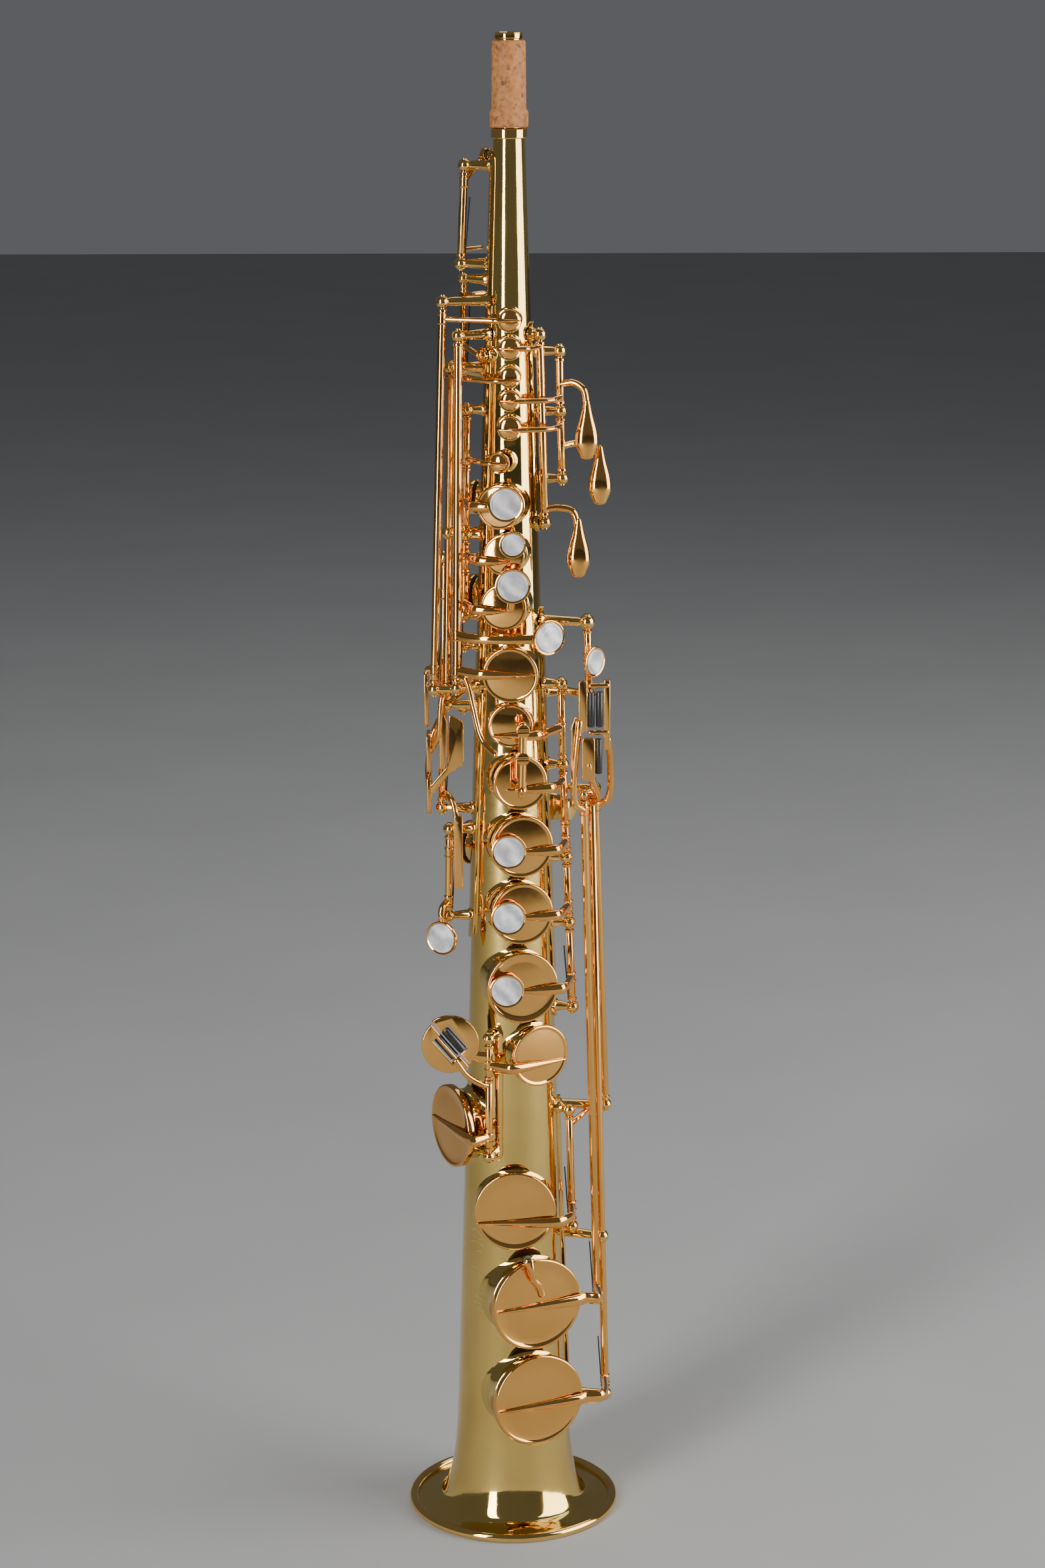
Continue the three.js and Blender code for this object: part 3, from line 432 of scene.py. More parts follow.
class Net:
    """A node tree that is written as expressions."""

    def __init__(self, tree: bpy.types.NodeTree) -> None:
        """Wraps a node tree."""
        self.tree = tree

    def node(
        self,
        kind: str,
        inputs: "dict[int | str, Socket | float | tuple | bpy.types.ID] | None" = None,
        output: "int | str" = 0,
        stops: "Sequence[tuple[float, tuple[float, ...]]]" = (),
        **settings: object,
    ) -> Socket:
        """Adds a node.

        Args:
            kind: the node's type.
            inputs: values or links of its sockets, by number or name.
            output: the output that is returned.
            stops: (place, colour) pairs of a colour ramp.
            **settings: the node's own settings, which are set first.

        Returns:
            One of the node's outputs.
        """
        made = self.tree.nodes.new(kind)
        for name, value in settings.items():
            setattr(made, name, value)
        for i, (place, colour) in enumerate(stops):
            ramp = made.color_ramp.elements
            stop = ramp[i] if i < 2 else ramp.new(place)
            stop.position = place
            stop.color = (*colour, 1.0)
        for key, value in (inputs or {}).items():
            if isinstance(value, Socket):
                self.tree.links.new(value.raw, made.inputs[key])
            else:
                made.inputs[key].default_value = value
        return Socket(self, made.outputs[output] if made.outputs else None)

    def mix(self, factor: "Socket | float", first: object, second: object) -> Socket:
        """Blends two colours."""
        mixed = self.node("ShaderNodeMix", {0: factor, 6: _rgba(first), 7: _rgba(second)}, data_type="RGBA")
        return Socket(self, mixed.raw.node.outputs[2])

    def noise(
        self, scale: float, detail: float = 3.0, vector: "Socket | None" = None, **more: float
    ) -> Socket:
        """Cloud noise between 0 and 1, at a scale in features per metre."""
        inputs: dict = {"Scale": scale, "Detail": detail, **{k.title(): v for k, v in more.items()}}
        if vector is not None:
            inputs["Vector"] = vector
        return self.node("ShaderNodeTexNoise", inputs, output=0)

    def ease(self, value: Socket, low: float, high: float) -> Socket:
        """Smooth step of a value between two bounds."""
        inputs = {"Value": value, "From Min": low, "From Max": high}
        return self.node("ShaderNodeMapRange", inputs, interpolation_type="SMOOTHSTEP")


def _rgba(colour: object) -> object:
    """A colour as four numbers, and anything else as it is."""
    return (*colour, 1.0) if isinstance(colour, tuple) and len(colour) == 3 else colour


# ---- finishes -------------------------------------------------------------------------------
@dataclass(frozen=True)
class Finish:
    """A surface finish that makes its material once."""

    name: str

    def material(self) -> bpy.types.Material:
        """The finish's material, made on first use."""
        found = bpy.data.materials.get(self.name)
        if found:
            return found
        made = bpy.data.materials.new(self.name)
        made.use_nodes = True
        made.node_tree.nodes.clear()
        net = Net(made.node_tree)
        shader = net.node("ShaderNodeBsdfPrincipled")
        net.node("ShaderNodeOutputMaterial", {"Surface": shader})
        place = net.node("ShaderNodeTexCoord").of("Object")
        self.dress(net, shader.raw.node, place)
        return made

    def dress(self, net: Net, shader: bpy.types.Node, place: Socket) -> None:
        """Sets the shader; each finish has its own."""
        raise NotImplementedError

    @staticmethod
    def link(net: Net, shader: bpy.types.Node, **links: Socket) -> None:
        """Links sockets of the shader by name, with _ for a space."""
        for name, value in links.items():
            net.tree.links.new(value.raw, shader.inputs[name.replace("_", " ")])

    @staticmethod
    def bump(net: Net, height: Socket, strength: float, depth: float) -> Socket:
        """A bump of a depth in metres."""
        inputs = {"Strength": strength, "Distance": depth, "Height": height}
        return net.node("ShaderNodeBump", inputs)


@dataclass(frozen=True)
class Lacquer(Finish):
    """Polished brass under clear lacquer."""

    colour: tuple[float, float, float] = (0.83, 0.62, 0.27)
    worn: tuple[float, float, float] = (0.62, 0.42, 0.16)
    gloss: float = 0.045
    haze: float = 0.06
    ripple: float = 0.10
    engraved: bool = False

    def dress(self, net: Net, shader: bpy.types.Node, place: Socket) -> None:
        """Adds tone patches, fine haze, slight ripples and, on the body, engraved scrolls whose strokes are
        painted a pale highlight colour.
        """
        patches = net.ease(net.noise(38.0, 4.0, place), 0.38, 0.75)
        specks = net.ease(net.noise(900.0, 2.0, place), 0.66, 0.8)
        colour = net.mix(patches * 0.45, self.colour, self.worn)
        colour = net.mix(specks * 0.25, colour, self.worn)
        rough = self.gloss + net.ease(net.noise(70.0, 5.0, place), 0.35, 0.8) * self.haze + specks * 0.12
        height = net.noise(160.0, 1.5, place)
        if self.engraved:
            lines = self.engraving_and_glint(net, place)
            # The pale colour on the engraved strokes is a painted highlight, standing in for the glints that
            # the cuts catch.
            colour = net.mix(lines * 0.55, colour, (0.95, 0.86, 0.58))
            rough = rough + lines * 0.22
            height = height - lines * 1.6
        shader.inputs["Metallic"].default_value = 1.0
        shader.inputs["Coat Weight"].default_value = 0.25
        shader.inputs["Coat Roughness"].default_value = 0.06
        self.link(net, shader, Base_Color=colour, Roughness=rough)
        self.link(net, shader, Normal=self.bump(net, height, self.ripple, 0.0006))

    def engraving_and_glint(self, net: Net, place: Socket) -> Socket:
        """Loose scroll strokes on the front left of the lower body: a mask for the cuts' bump and roughness,
        and for their pale painted highlight.
        """
        split = net.node("ShaderNodeSeparateXYZ", {0: place})
        x, y, z = split, split.of("Y"), split.of("Z")
        turn = net.node("ShaderNodeMath", {0: x, 1: -y}, operation="ARCTAN2")
        middle = math.radians(-46.0)
        near = 1 - net.ease(net.node("ShaderNodeMath", {0: turn - middle}, operation="ABSOLUTE"), 0.14, 0.34)
        band = net.ease(z, 0.084, 0.096) * (1 - net.ease(z, 0.138, 0.152))
        inputs = {"Vector": place, "Scale": 95.0, "Distortion": 7.0, "Detail": 1.2, "Detail Scale": 1.5}
        curls = net.node("ShaderNodeTexWave", inputs, output="Fac", wave_type="RINGS")
        strokes = net.ease(curls, 0.955, 0.99)
        sparse = net.ease(net.noise(150.0, 2.0, place), 0.46, 0.56)
        return strokes * near * band * sparse


@dataclass(frozen=True)
class Pearl(Finish):
    """Mother of pearl with soft grey clouds and a streak."""

    def dress(self, net: Net, shader: bpy.types.Node, place: Socket) -> None:
        """Adds clouds, streaks and a hint of colour under a clear gloss."""
        clouds = net.noise(130.0, 4.0, place)
        inputs = {"Vector": place, "Scale": 60.0, "Distortion": 5.0, "Detail": 3.0, "Detail Scale": 1.6}
        streaks = net.node("ShaderNodeTexWave", inputs, output="Fac", bands_direction="DIAGONAL")
        stops = [(0.25, (0.34, 0.34, 0.35)), (0.55, (0.60, 0.595, 0.60)), (0.8, (0.90, 0.89, 0.88))]
        base = net.node("ShaderNodeValToRGB", {"Fac": clouds * 0.62 + streaks * 0.38}, stops=stops)
        tint = net.node("ShaderNodeValToRGB", {"Fac": net.noise(60.0, 2.0, place)}, stops=[
            (0.35, (0.78, 0.90, 0.98)), (0.5, (1.0, 1.0, 1.0)), (0.68, (1.0, 0.88, 0.90)),
        ])
        mixed = net.node(
            "ShaderNodeMix", {0: 0.35, 6: base, 7: tint}, output=2, data_type="RGBA", blend_type="MULTIPLY"
        )
        shader.inputs["IOR"].default_value = 1.6
        shader.inputs["Coat Weight"].default_value = 0.5
        shader.inputs["Coat Roughness"].default_value = 0.05
        self.link(net, shader, Base_Color=mixed, Roughness=0.16 + clouds * 0.14)
        self.link(net, shader, Normal=self.bump(net, clouds, 0.15, 0.0002))


@dataclass(frozen=True)
class Ebonite(Finish):
    """Black polished rubber."""

    def dress(self, net: Net, shader: bpy.types.Node, place: Socket) -> None:
        """Adds fine turning marks and dull patches."""
        clouds = net.noise(220.0, 4.0, place)
        colour = net.mix(clouds, (0.008, 0.008, 0.009), (0.026, 0.025, 0.025))
        self.link(net, shader, Base_Color=colour, Roughness=0.16 + clouds * 0.2)
        self.link(net, shader, Normal=self.bump(net, net.noise(1500.0, 2.0, place), 0.12, 0.0001))


@dataclass(frozen=True)
class Cork(Finish):
    """Natural sheet cork, greased with use."""

    def dress(self, net: Net, shader: bpy.types.Node, place: Socket) -> None:
        """Adds grain, dark pits and pale flecks."""
        grain = net.noise(420.0, 8.0, place)
        cells = net.node("ShaderNodeTexVoronoi", {"Vector": place, "Scale": 520.0})
        pits = net.ease(net.noise(330.0, 4.0, place), 0.60, 0.70)
        colour = net.mix(net.ease(grain, 0.3, 0.72), (0.25, 0.080, 0.018), (0.42, 0.160, 0.044))
        colour = net.mix(net.ease(cells, 0.25, 0.7) * 0.35, colour, (0.54, 0.26, 0.09))
        colour = net.mix(pits * 0.85, colour, (0.12, 0.045, 0.018))
        self.link(net, shader, Base_Color=colour, Roughness=0.62 + grain * 0.25)
        self.link(net, shader, Normal=self.bump(net, grain * 0.7 + cells * 0.2 - pits, 0.55, 0.0005))


@dataclass(frozen=True)
class Leather(Finish):
    """Dark pad leather."""

    dark: tuple[float, float, float] = (0.010, 0.008, 0.007)
    light: tuple[float, float, float] = (0.045, 0.030, 0.022)

    def dress(self, net: Net, shader: bpy.types.Node, place: Socket) -> None:
        """Adds pores and creases."""
        pores = net.node("ShaderNodeTexVoronoi", {"Vector": place, "Scale": 1400.0})
        colour = net.mix(net.noise(300.0, 5.0, place), self.dark, self.light)
        self.link(net, shader, Base_Color=colour, Roughness=0.55 + pores * 0.3)
        self.link(net, shader, Normal=self.bump(net, pores, 0.3, 0.0002))


@dataclass(frozen=True)
class Felt(Finish):
    """Dark green bumper felt."""

    def dress(self, net: Net, shader: bpy.types.Node, place: Socket) -> None:
        """Adds matted fibres."""
        fibres = net.noise(2600.0, 6.0, place)
        colour = net.mix(fibres, (0.006, 0.022, 0.020), (0.035, 0.085, 0.070))
        shader.inputs["Sheen Weight"].default_value = 0.35
        self.link(net, shader, Base_Color=colour, Roughness=0.85 + fibres * 0.15)
        self.link(net, shader, Normal=self.bump(net, fibres, 0.6, 0.0003))


@dataclass(frozen=True)
class BluedSteel(Finish):
    """Blued spring steel."""

    def dress(self, net: Net, shader: bpy.types.Node, place: Socket) -> None:
        """Adds the uneven blue of heat."""
        tone = net.noise(90.0, 3.0, place)
        colour = net.mix(tone, (0.012, 0.014, 0.022), (0.050, 0.060, 0.095))
        shader.inputs["Metallic"].default_value = 0.9
        self.link(net, shader, Base_Color=colour, Roughness=0.28 + tone * 0.2)


@dataclass(frozen=True)
class Paper(Finish):
    """Seamless pale paper under the instrument."""

    def dress(self, net: Net, shader: bpy.types.Node, place: Socket) -> None:
        """Adds a faint mottle."""
        colour = net.mix(net.noise(6.0, 4.0, place), (0.33, 0.335, 0.34), (0.38, 0.385, 0.39))
        self.link(net, shader, Base_Color=colour, Roughness=0.8 + net.noise(40.0, 3.0, place) * 0.15)


BODY_BRASS = Lacquer("body_brass", (0.86, 0.60, 0.17), (0.66, 0.42, 0.10), engraved=True)
TRIM_BRASS = Lacquer("trim_brass", (0.90, 0.58, 0.17), (0.68, 0.38, 0.09))
KEY_BRASS = Lacquer("key_brass", (0.95, 0.50, 0.13), (0.80, 0.36, 0.07), ripple=0.07)
PEARL = Pearl("mother_of_pearl")
EBONITE = Ebonite("black_roller")
CORK = Cork("natural_cork")
LEATHER = Leather("pad_leather")
FELT = Felt("green_felt")
SPRING = BluedSteel("blued_spring")
PAPER = Paper("pale_paper")


def finished(
    name: str,
    form: "Form | bpy.types.Mesh",
    finish: Finish,
    body: str,
    replaces: Sequence[str] = (),
) -> bpy.types.Object:
    """Turns a form into a piece on a body.

    Args:
        name: the piece's name.
        form: a form, or a mesh that is already in metres.
        finish: its surface finish.
        body: the body it rides on.
        replaces: the plain parts that it stands for.

    Returns:
        The piece.
    """
    mesh = form.mesh(name) if isinstance(form, Form) else form
    mesh.name = name
    mesh.materials.clear()
    mesh.materials.append(finish.material())
    piece = bpy.data.objects.new(name, mesh)
    bpy.context.scene.collection.objects.link(piece)
    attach(piece, body)
    if replaces:
        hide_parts(*replaces)
    LOG.info("%s: %d faces", name, len(mesh.polygons))
    return piece


# ---- geometry trees -------------------------------------------------------------------------
class Grown:
    """A Geometry Nodes tree that is built here and turned into a plain mesh."""

    def __init__(self, name: str, inputs: Sequence[tuple[str, str, float]], finish: Finish) -> None:
        """Starts a tree with named inputs.

        Args:
            name: the tree's name.
            inputs: (name, socket type, value) of each input.
            finish: the material that the tree sets.
        """
        self.tree = bpy.data.node_groups.new(name, "GeometryNodeTree")
        face = self.tree.interface
        face.new_socket("Geometry", in_out="INPUT", socket_type="NodeSocketGeometry")
        face.new_socket("Geometry", in_out="OUTPUT", socket_type="NodeSocketGeometry")
        self.values = {}
        for label, kind, value in inputs:
            item = face.new_socket(label, in_out="INPUT", socket_type=kind)
            self.values[item.identifier] = value
        self.net = Net(self.tree)
        self.start = self.net.node("NodeGroupInput")
        self.finish = finish

    def given(self, label: str) -> Socket:
        """A named input of the tree."""
        return self.start.of(label)

    def close(self, geometry: Socket) -> None:
        """Ends the tree with Realize Instances and Set Material."""
        real = self.net.node("GeometryNodeRealizeInstances", {"Geometry": geometry})
        dressed = self.net.node(
            "GeometryNodeSetMaterial", {"Geometry": real, "Material": self.finish.material()}
        )
        self.net.node("NodeGroupOutput", {0: dressed})

    def mesh(self, name: str, seed: "bpy.types.Mesh | None" = None, **changed: float) -> bpy.types.Mesh:
        """Runs the tree and returns a plain mesh.

        Args:
            name: the mesh's name.
            seed: the mesh that the tree starts from, or nothing.
            **changed: inputs whose values differ from the tree's own, with _ for a space.

        Returns:
            The result with outward faces.
        """
        holder = bpy.data.objects.new(f"{name}_holder", seed or bpy.data.meshes.new(f"{name}_seed"))
        bpy.context.scene.collection.objects.link(holder)
        modifier = holder.modifiers.new("grow", "NODES")
        modifier.node_group = self.tree
        names = {s.name: s.identifier for s in self.tree.interface.items_tree if s.in_out == "INPUT"}
        for identifier, value in self.values.items():
            modifier[identifier] = value
        for label, value in changed.items():
            modifier[names[label.replace("_", " ")]] = value
        bpy.context.view_layer.update()
        evaluated = holder.evaluated_get(bpy.context.evaluated_depsgraph_get())
        made = bpy.data.meshes.new_from_object(evaluated)
        holder.modifiers.clear()
        bpy.data.objects.remove(holder)
        work = bmesh.new()
        work.from_mesh(made)
        bmesh.ops.remove_doubles(work, verts=work.verts, dist=1e-6)
        bmesh.ops.recalc_face_normals(work, faces=work.faces)
        work.to_mesh(made)
        work.free()
        smooth(made)
        return made


def bore_shell() -> Grown:
    """A tree that makes a closed conical shell which flares to a bell.

    Returns:
        The tree; its rings run from Foot to Top, closer together near the foot as Crowding grows.
    """
    number, whole = "NodeSocketFloat", "NodeSocketInt"
    grown = Grown("bore_shell", [
        ("Sides", whole, 112), ("Rings", whole, 40), ("Foot", number, BODY_FOOT), ("Top", number, NECK_FOOT),
        ("Crowding", number, 1.0), ("Wall", number, WALL), ("Cone", number, CONE_RADIUS),
        ("Slope", number, CONE_SLOPE), ("Flare", number, FLARE), ("Flare decay", number, FLARE_DECAY),
        ("Lip", number, LIP_FLARE), ("Lip decay", number, LIP_DECAY),
    ], BODY_BRASS)
    net, given = grown.net, grown.given
    rings = given("Rings")
    rows = rings * 2 + 1
    grid = net.node("GeometryNodeMeshGrid", {
        "Size X": 1.0, "Size Y": 1.0, "Vertices X": given("Sides") + 1, "Vertices Y": rows,
    })
    where = net.node("ShaderNodeSeparateXYZ", {0: net.node("GeometryNodeInputPosition")})
    turn = (where + 0.5) * math.tau
    row = net.node("ShaderNodeMath", {0: (where.of("Y") + 0.5) * (rows - 1)}, operation="ROUND")
    inner = row.over(rings - 0.5) * row.under(rings * 2 - 0.5)
    real = row.under(rings * 2 - 0.5)
    share = ((1 - inner) * row + inner * (rings * 2 - 1 - row)) * real / (rings - 1)
    height = given("Foot") + (given("Top") - given("Foot")) * share ** given("Crowding")

    def fading(size: str, decay: str) -> Socket:
        """A flare that dies away with height."""
        return given(size) * net.node("ShaderNodeMath", {0: -height / given(decay)}, operation="EXPONENT")

    cone = given("Cone") + (CONE_Z - height) * given("Slope")
    radius = cone + fading("Flare", "Flare decay") + fading("Lip", "Lip decay") - inner * given("Wall")
    across = net.node("ShaderNodeMath", {0: turn}, operation="COSINE") * radius * MM
    deep = net.node("ShaderNodeMath", {0: turn}, operation="SINE") * radius * MM
    place = net.node("ShaderNodeCombineXYZ", {0: across, 1: deep, 2: height * MM})
    moved = net.node("GeometryNodeSetPosition", {"Geometry": grid, "Position": place})
    grown.close(net.node("GeometryNodeMergeByDistance", {"Geometry": moved, "Distance": 1e-6}))
    return grown


def post_heads() -> Grown:
    """A tree that puts a ball with a pivot screw on each point.

    Returns:
        The tree; each point carries a radius and the direction of its hinge.
    """
    number = "NodeSocketFloat"
    grown = Grown("post_heads", [
        ("Screw", number, 0.42), ("Proud", number, 0.98), ("Neck", number, 0.62),
    ], TRIM_BRASS)
    net, given = grown.net, grown.given
    ball = net.node("GeometryNodeMeshUVSphere", {"Segments": 28, "Rings": 18, "Radius": 1.0})
    screw = net.node("GeometryNodeMeshCylinder", {
        "Vertices": 16, "Radius": given("Screw"), "Depth": given("Proud") * 2.0 + 0.16,
    })
    both = net.node("GeometryNodeJoinGeometry")
    net.tree.links.new(ball.raw, both.raw.node.inputs[0])
    net.tree.links.new(screw.raw, both.raw.node.inputs[0])
    along = net.node("GeometryNodeInputNamedAttribute", {"Name": "along"}, data_type="FLOAT_VECTOR")
    size = net.node("GeometryNodeInputNamedAttribute", {"Name": "size"}, data_type="FLOAT")
    turned = net.node("FunctionNodeAlignRotationToVector", {"Vector": along}, axis="Z")
    heads = net.node("GeometryNodeInstanceOnPoints", {
        "Points": grown.start, "Instance": both, "Rotation": turned, "Scale": size * MM,
    })
    grown.close(heads)
    return grown


def needle_springs() -> Grown:
    """A tree that draws a needle along each edge of a mesh.

    Returns:
        The tree; Radius is the needle's radius in millimetres.
    """
    grown = Grown("needle_springs", [("Radius", "NodeSocketFloat", 0.28)], SPRING)
    net = grown.net
    wires = net.node("GeometryNodeMeshToCurve", {"Mesh": grown.start})
    ring = net.node("GeometryNodeCurvePrimitiveCircle", {
        "Resolution": 8, "Radius": grown.given("Radius") * MM,
    }, mode="RADIUS")
    grown.close(net.node("GeometryNodeCurveToMesh", {
        "Curve": wires, "Profile Curve": ring, "Fill Caps": True,
    }))
    return grown


def points_mesh(
    name: str, places: Sequence[Point], edges: Sequence[tuple[int, int]] = (), **attributes: Sequence[object]
) -> bpy.types.Mesh:
    """A mesh of loose points or edges in metres, with attributes for a tree to read.

    Args:
        name: the mesh's name.
        places: the points in millimetres.
        edges: pairs of points.
        **attributes: one number or vector for each point.

    Returns:
        The mesh.
    """
    mesh = bpy.data.meshes.new(name)
    mesh.from_pydata([Vector(p) * MM for p in places], edges, [])
    for label, values in attributes.items():
        vector = isinstance(values[0], (tuple, list, Vector))
        made = mesh.attributes.new(label, "FLOAT_VECTOR" if vector else "FLOAT", "POINT")
        flat = [x for value in values for x in value] if vector else list(values)
        made.data.foreach_set("vector" if vector else "value", flat)
    return mesh


# ---- tone holes and hinge lines -------------------------------------------------------------
@dataclass(frozen=True)
class Hole:
    """A tone hole: azimuth, height on the body, cup radius, and whether its key stands open."""

    az: float
    z: float
    r: float
    open: bool = False

    @property
    def chimney_radius(self) -> float:
        """Outside radius of the chimney."""
        return self.r * 0.84

    @property
    def chimney_top(self) -> float:
        """Distance from the bore's axis to the chimney's rim."""
        return tube_radius(self.z) + CHIMNEY

    @property
    def pad_face(self) -> float:
        """Where a shut pad rests."""
        return self.chimney_top + GAP

    @property
    def cup_top(self) -> float:
        """Top of the shut cup."""
        return self.pad_face + PAD + (1.6 if self.r < SMALL_CUP else 2.2)

    @property
    def frame(self) -> Matrix:
        """Matrix from the hole's own axes, with +Z outwards from the bore's axis."""
        return aim((0, 0, self.z), outward(self.az))

    def over(self, sideways: float, raised: float, z: float) -> Vector:
        """A point over the cup, sideways across it and raised over its top."""
        out = outward(self.az)
        point = out * (self.cup_top + raised) + Vector((-out.y, out.x, 0)) * sideways
        point.z = z
        return point


HOLES = {
    "high_f_sharp": Hole(0, 525.7, 5.0),
    "palm_f": Hole(0, 514.3, 5.0),
    "high_e": Hole(0, 502.7, 4.6),
    "palm_e_flat": Hole(0, 493.0, 4.5),
    "palm_d": Hole(0, 481.8, 5.2),
    "vent": Hole(-10, 467.8, 4.5, True),
    "b": Hole(-8, 449.8, 9.4, True),
    "bis": Hole(-1, 430.0, 8.7, True),
    "a": Hole(-2, 408.3, 9.8, True),
    "g": Hole(2.4, 379.9, 11.7, True),
    "g_sharp": Hole(0, 358.0, 9.4),
    "f_sharp": Hole(5.2, 334.2, 11.6, True),
    "f": Hole(6.7, 306.9, 13.4, True),
    "e": Hole(6.4, 278.0, 13.4, True),
    "d": Hole(6.4, 245.8, 15.5, True),
    "e_flat": Hole(30, 214.3, 13.5),
    "low_c": Hole(-70, 179.1, 18.0, True),
    "low_c_sharp": Hole(2.8, 145.8, 17.6),
    "low_b": Hole(18.6, 104.1, 20.5, True),
    "low_b_flat": Hole(18.6, 60.3, 20.5, True),
    "side_c": Hole(-108, 450.4, 7.2),
    "side_b_flat": Hole(-116, 409.7, 7.6),
    "trill_f_sharp": Hole(-122, 300, 9.5),
    "upper_octave": Hole(-120, 590.8, 3.0),
    "lower_octave": Hole(-56, 511.0, 3.1),
}


@dataclass(frozen=True)
class Line:
    """A hinge line between the centres of its end balls, top first."""

    top: tuple[float, float, float]
    foot: tuple[float, float, float]

    def at(self, z: float) -> Vector:
        """The line's point at a height."""
        return Vector(self.top).lerp(Vector(self.foot), (z - self.top[2]) / (self.foot[2] - self.top[2]))

    @property
    def along(self) -> Vector:
        """Direction from foot to top."""
        return (Vector(self.top) - Vector(self.foot)).normalized()


LINES = {
    "high_f_sharp": Line((-27.4, -8, 532.7), (-32.1, -8, 371.0)),
    "g": Line((-21.0, -10, 519.1), (-22.5, -14, 372.9)),
    "high_e": Line((-24.3, -3, 505.4), (-27.0, -3, 363.3)),
    "left_stack": Line((-17.7, -4, 488.0), (-19.4, -4, 389.2)),
    "side_c": Line((-8.5, 19, 470), (-10.5, 21.5, 361.6)),
    "side_b_flat": Line((-27.5, 3, 425), (-29.3, 0, 318)),
    "upper_octave": Line((-18.2, 3, 587.0), (-19.9, 3, 547.2)),
    "lower_octave": Line((-18.9, 4.5, 541), (-19.2, 4.5, 503)),
    "octave_lever": Line((5, 19.5, 541), (5.5, 21.5, 470)),
    "palm_f": Line((12.4, -6.2, 519.2), (14.4, -6.4, 441.5)),
    "palm_e_flat": Line((20.6, 0, 511.7), (20.9, 0, 486.9)),
    "palm_d": Line((20.9, 0, 486.9), (21.6, 0, 458.9)),
    "g_sharp": Line((21.2, -5, 372.7), (21.9, -5, 338.0)),
    "g_sharp_lever": Line((32.0, -8, 399.7), (33.0, -6, 368.0)),
    "right_stack": Line((21.9, -5, 338.0), (26.1, -6, 231.4)),
    "trill_f_sharp": Line((-26.1, -6, 310.1), (-26.8, -6, 272)),
    "pinky": Line((-9.7, -23.4, 222.6), (-9.8, -26, 170.5)),
    "low_c_sharp": Line((24.7, -6, 184.7), (26.1, -6, 131.4)),
    "low_c_sharp_lever": Line((35.6, 1.5, 326), (40.6, 3.0, 184.1)),
    "low_b": Line((30.7, -9.5, 326), (36.9, -6.0, 97.6)),
    "low_b_flat": Line((34.1, -5.5, 326), (40.9, -1.5, 51.0)),
}


